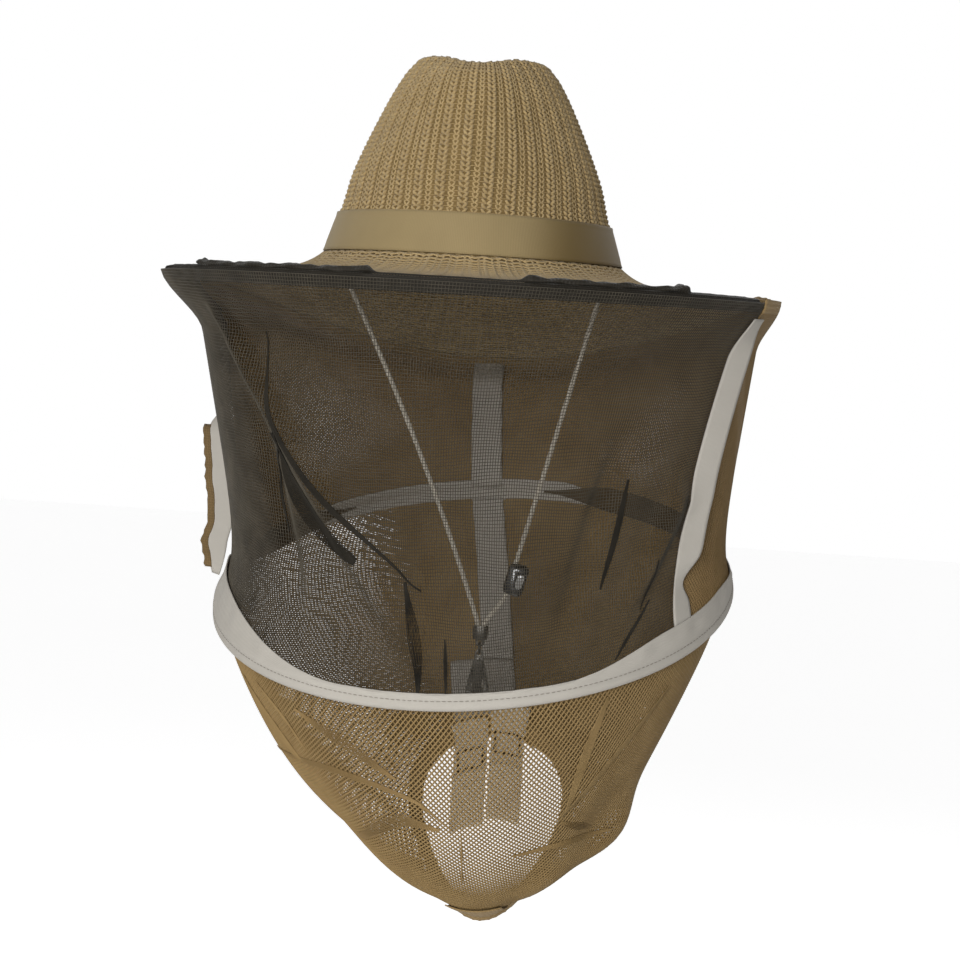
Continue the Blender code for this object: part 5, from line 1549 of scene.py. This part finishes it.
def build_crown(strands, finishes):
    """The crown and the brim, with their knit."""
    top = CrownTop()
    # The shell shows between the yarns in painted shade
    ground, straw = finishes["straw in painted gap shade"], finishes["straw"]
    settle(crown_shell(top, ground), "hat", "straw", "crown")
    rows = crown_rows() + crown_top_lines(top)
    settle(knit(strands, "crown_rows", rows, straw, ROW_YARN), "hat", "straw")
    settle(knit(strands, "crown_ribs", crown_ribs(0, *RIB_SIZE), straw, RIB_YARN), "hat", "straw")
    settle(knit(strands, "crown_purl", crown_ribs(0.5, *PURL_SIZE), straw, PURL_YARN), "hat", "straw")
    grid = brim_face(rounds(240)[None, :], np.linspace(0.004, 1, 24)[:, None])
    settle(cloth("brim_shell", grid, ground, BRIM_SHELL, True), "hat", "straw", "brim")
    settle(knit(strands, "brim_knit", brim_knit(), straw, BRIM_YARN), "hat", "straw")


def build_bands(finishes):
    """The ribbon round the crown and the sweatband inside it."""
    lift = BAND_EASE + HATBAND_THICKNESS / 2 + 0.2 * MM
    settle(band("hatband_ribbon", HATBAND_FOOT, HATBAND_WIDTH, lift, finishes["ribbon"], HATBAND_THICKNESS,
                HATBAND_BEAD), "hat", "ribbon", "hatband")
    inside = -(CROWN_WALL + CLEARANCE + BAND_EASE + SWEATBAND_THICKNESS / 2)
    settle(band("sweatband_cloth", SWEATBAND_FOOT, SWEATBAND_HEIGHT, inside, finishes["lining"],
                SWEATBAND_THICKNESS), "hat", "sweatband", "sweatband")


def build_hems(strands, finishes):
    """The veil's hems, folded over the front and the rear of the brim's edge."""
    hem = Hem()
    thread, black, khaki = finishes["black hem"], finishes["black cloth"], finishes["khaki cloth"]
    front, rear = (SEAM_LEFT[0], SEAM_RIGHT[0]), (SEAM_RIGHT[0], SEAM_LEFT[0] + TURN)
    window = np.radians(HEM_WINDOW)
    sides = hem.lattice(front[0], window[0], FRONT_PITCH) + hem.lattice(window[1], front[1], FRONT_PITCH)
    settle(net(strands, "front_hem_net", sides, thread, FRONT_HEM_STRAND), "hat", "black_mesh",
           "front_veil_hem")
    single = hem.lattice(*window, FRONT_PITCH)
    settle(net(strands, "front_hem_window", single, thread, FRONT_STRAND), "hat", "black_mesh")
    for label, start, end, first in (("left", front[0], window[0], 0.0), ("middle", *window, WINDOW_LINED),
                                     ("right", window[1], front[1], 0.0)):
        lining = hem.lining(start, end, first)
        settle(cloth("front_hem_lining_" + label, lining, black, NET_LAYER), "hat", "black_mesh")
    settle(hem_roll("front_hem_roll", *front, black, FRONT_ROLL, np.radians(HEM_KNOTS),
                    np.radians(HEM_FLATS)), "hat", "black_mesh")
    behind = hem.lattice(*rear, REAR_PITCH)
    settle(net(strands, "rear_hem_net", behind, finishes["khaki net"], REAR_HEM_STRAND), "hat", "khaki_net",
           "rear_veil_hem")
    settle(cloth("rear_hem_lining", hem.lining(*rear), khaki, NET_LAYER), "hat", "khaki_net")
    settle(hem_roll("rear_hem_roll", *rear, khaki, REAR_ROLL, np.radians(REAR_KNOTS)), "hat", "khaki_net")


def build_veil(strands, finishes):
    """The front and rear netting, with its creases and its turned edges."""
    front = net(strands, "front_net", front_lines(veil_wall), finishes["black net"], FRONT_STRAND)
    rear = net(strands, "rear_net", rear_lines(veil_wall), finishes["rear net"], REAR_STRAND, True)
    hang(front, "black_mesh", "front_veil")
    hang(rear, "khaki_net", "rear_veil")
    creases = crease_lines(veil_wall, FRONT_CREASES, VEIL_HEIGHT, CREASE_LIFT)
    hang(net(strands, "front_creases", creases, finishes["black hem"], FRONT_CREASE_STRAND), "black_mesh")
    hang(cloth("front_net_turning", top_turning(), finishes["black cloth"], NET_LAYER), "black_mesh")
    round_back = np.linspace(SEAM_RIGHT[0], SEAM_LEFT[0] + TURN, 160)
    edge = lifted(veil_wall, round_back, np.linspace(-0.014, 0.03, 5)[:, None], 0.3 * MM)
    hang(cloth("rear_net_edge", edge, finishes["khaki cloth"], NET_FOLD), "khaki_net")


def build_tapes(finishes):
    """The veil's tapes, and the netting's own edges beside them."""
    left, loose = left_tape_grid()
    selvage = tape_selvage(left[loose > 0.9], SELVAGE)
    hang(cloth("left_tape_selvage", selvage, finishes["raw edge"], 0.8 * MM), "khaki_net")
    shares = np.linspace(0.01, 0.97, 50)
    grids = {
        "seam_tape_left": left,
        "seam_tape_right": right_tape_grid(),
        "back_tape": tape_grid(veil_wall, CENTRE_BACK, BACK_TAPE_WIDTH, shares, -TAPE_LIFT - 1.4 * MM),
    }
    for name, grid in grids.items():
        hang(cloth(name + "_cloth", grid, finishes["white tape"]), "white_tape", name)
    start, end = HOOP_TAPE_BEHIND
    first, last = HOOP_SEAM_ENDS
    # The seam inside the hoop is folded netting in a dark brown of painted shade
    for label, reach in (("right", (first, start + HOOP_SEAM_LAP)), ("left", (end - HOOP_SEAM_LAP, last))):
        seam = hoop_seam_grid(*reach)
        hang(cloth("hoop_seam_" + label, seam, finishes["shaded seam cloth"], 0.4 * MM), "khaki_net")


def build_collar(strands, stitches, finishes):
    """The hoop's tape, the pouch and its hem."""
    thread, khaki = finishes["khaki net"], finishes["khaki cloth"]
    grid, groove = hoop_tape_grid()
    settle(cloth("hoop_tape_cloth", grid, finishes["white tape"], CLOTH, True), "hoop", "white_tape",
           "hoop_tape")
    # The stitching's grey is partly painted shade of the tape's groove
    settle(stitches.apply("hoop_tape_sewing", groove, finishes["tape thread in painted groove shade"], Pitch=3 * MM, Length=2.4 * MM,
                          Radius=0.5 * MM), "hoop", "white_tape")
    pouch = net(strands, "pouch_net", pouch_lines(pouch_wall), thread, POUCH_STRAND, True)
    settle(pouch, "hoop", "khaki_net", "pouch")
    creases = crease_lines(pouch_wall, POUCH_CREASES, POUCH_HEIGHT, CREASE_LIFT)
    settle(net(strands, "pouch_creases", creases, thread, POUCH_CREASE_STRAND), "hoop", "khaki_net")
    seam = tape_grid(pouch_wall, CENTRE_BACK, 6 * MM, np.linspace(0.0, 1.0, 50), 1.1 * MM, 5)
    settle(cloth("pouch_seam", seam, khaki, NET_FOLD), "hoop", "khaki_net")
    settle(cloth("hem_casing_cloth", casing_grid(), khaki, CLOTH, True), "hoop", "khaki_net", "hem_casing")
    settle(strands.apply("hem_elastic_cord", [(hem_ring(rounds(160)), True)], finishes["cord"],
                         Radius=HEM_ELASTIC_RADIUS, Sides=10, Caps=False), "hoop", "elastic", "hem_elastic")


def build_straps(stitches, finishes):
    """The tape and the patch inside the pouch's back, the front's patch, and the straps."""
    white = finishes["white tape"]
    shares = np.linspace(-0.015, PATCH_TOP - PATCH_GAP, 36)
    tape = tape_grid(pouch_wall, CENTRE_BACK, BACK_TAPE_WIDTH, shares, -TAPE_LIFT)
    settle(cloth("back_tape_lower_cloth", tape, white), "hoop", "white_tape", "back_tape_lower")
    shares = np.linspace(PATCH_TOP, 1, 16)
    patch = tape_grid(pouch_wall, CENTRE_PATCH, PATCH_WIDTH, shares, -TAPE_LIFT, 13)
    settle(cloth("strap_patch_cloth", patch, white), "hoop", "white_tape", "strap_patch")
    shares = np.linspace(FRONT_PATCH_TOP, 1, 12)
    small = tape_grid(pouch_wall, CENTRE_FRONT, FRONT_PATCH_WIDTH, shares, TAPE_LIFT, 11)
    settle(cloth("front_patch_cloth", small, finishes["khaki cloth"]), "hoop", "khaki_net", "front_patch")
    boxes = []
    for name, offset, drop in zip(("strap_left", "strap_right"), STRAP_OFFSETS, STRAP_DROPS):
        grid = strap_grid(offset, drop)
        settle(cloth(name + "_elastic", grid, finishes["elastic"], STRAP_THICKNESS), "hoop", "elastic", name)
        boxes += box_stitch(grid, *STRAP_BOX)
    settle(stitches.apply("strap_sewing", boxes, finishes["brown thread"], Pitch=2.4 * MM, Length=2.5 * MM,
                          Radius=1.7 * MM), "hoop", "elastic")


def build_cords(strands, finishes):
    """The tabs inside the crown, and the cord's two legs from them to the crimp."""
    edges = np.linspace(-0.5, 0.5, 7) * TAB_WIDTH
    for label, side in (("left", -1), ("right", 1)):
        grid = smooth_line(tab_line(side), 20)[:, None] + vectors(0, edges, 0)
        tab = cloth("cord_tab_" + label + "_cloth", grid, finishes["white tape"], TAB_THICKNESS)
        settle(tab, "hat", "white_tape", "cord_tab_" + label)
        path = even_line(cord_line(side), CORD_STEP)
        plies = twisted(path, CORD_PLIES, PLY_REACH, PLY_PITCH)
        cord = strands.apply("chin_cord_" + label + "_plies", plies, finishes["cord"], Radius=PLY_RADIUS,
                             Sides=6, Caps=True)
        settle(cord, "hat", "cord", "chin_cord_" + label)


def build_metal(finishes, nodes, bodies):
    """The rigid fittings and wires, with eased edges."""
    looks = {"nickel": ("cord_crimp", "clip_ring", "clip_plate", "clip_pin", "clip_spring", "clip_lever"),
             "black_plastic": ("cord_lock_body",),
             "grey_plastic": ("cord_lock_button",),
             "wire": ("brim_wire", "lower_hoop", "cord_lock_spring")}
    pieces = {}
    for slot, names in looks.items():
        for name in names:
            pieces[name] = settle(softened(nodes[name], finishes[slot]), bodies[name], slot, name)
    spring = pieces["cord_lock_spring"]
    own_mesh(spring)
    return pieces


def make_finishes():
    """Every material, by the name that the assembly uses."""
    return {
        "straw": straw_yarn(),
        "straw in painted gap shade": straw_gap_shade(),
        "ribbon": ribbon(),
        "lining": woven("lining", STRAW_PALE, STRAW_DEEP, 0.8 * MM, 0.8 * MM, 0.15 * MM, 0.9, 0.3),
        # Its paler grey patches are painted sheen
        "black net": netting("black netting", THREAD_BLACK_PAINTED_SHEEN, THREAD_BLACK),
        "black cloth": woven("rolled black netting", NET_BLACK_WORN, NET_BLACK,
                             2.0 * MM, 2.0 * MM, 0.35 * MM, 0.6, 0.3),
        "black hem": netting("black hem netting", NET_BLACK_WORN, NET_BLACK),
        "khaki net": netting("khaki netting", NET_KHAKI, NET_KHAKI_DEEP),
        "rear net": netting("rear netting", REAR_KHAKI, REAR_KHAKI_DEEP),
        "raw edge": woven("raw edge of the netting", REAR_KHAKI_DEEP, SEAM_BROWN,
                          1.6 * MM, 1.6 * MM, 0.3 * MM, 0.8, 0.4),
        "shaded seam cloth": woven("netting folded in the seam, in painted shade", SEAM_BROWN, SEAM_SHADE_DEEP,
                            2 * MM, 2 * MM, 0.2 * MM, 0.8, 0.3),
        "khaki cloth": woven("folded khaki netting", NET_KHAKI, NET_KHAKI_DEEP,
                             2.3 * MM, 2.3 * MM, 0.35 * MM, 0.75, 0.3),
        "white tape": woven("white tape", TAPE_WHITE, TAPE_SHADE, 0.7 * MM, 0.7 * MM, 0.08 * MM, 0.7, 0.5),
        "elastic": woven("elastic", ELASTIC_PALE, ELASTIC_DEEP, 1.3 * MM, 0.8 * MM, 0.25 * MM, 0.75, 0.4),
        "cord": yarn("cord", CORD_WHITE, CORD_SHADE, 1.2 * MM),
        "tape thread in painted groove shade": yarn("tape thread in painted groove shade", THREAD_GREY_AND_GROOVE_SHADE, THREAD_GREY_DEEP_AND_GROOVE_SHADE, 2 * MM),
        "brown thread": yarn("brown thread", THREAD_BROWN, NET_BLACK, 2 * MM),
        "nickel": nickel("nickel", NICKEL_DULL, NICKEL_BRIGHT),
        "wire": nickel("wire", NICKEL_DULL, NICKEL_DULL),
        "black_plastic": plastic("black plastic", PLASTIC_BLACK, PLASTIC_WORN),
        "grey_plastic": plastic("grey plastic", PLASTIC_GREY, PLASTIC_PALE),
    }


def main():
    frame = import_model()
    bpy.context.scene.view_settings.view_transform = "Standard"
    bodies = {node: body for body, held in frame["record"]["behaviour"]["bodies"].items() for node in held}
    build_camera()
    strands, stitches, finishes = strand_tree(), stitch_tree(), make_finishes()
    pieces = build_metal(finishes, frame["nodes"], bodies)
    build_cords(strands, finishes)
    build_crown(strands, finishes)
    build_bands(finishes)
    build_hems(strands, finishes)
    build_veil(strands, finishes)
    build_tapes(finishes)
    build_collar(strands, stitches, finishes)
    build_straps(stitches, finishes)
    build_stage()
    build_world()
    build_lamps()
    bpy.context.view_layer.update()


main()
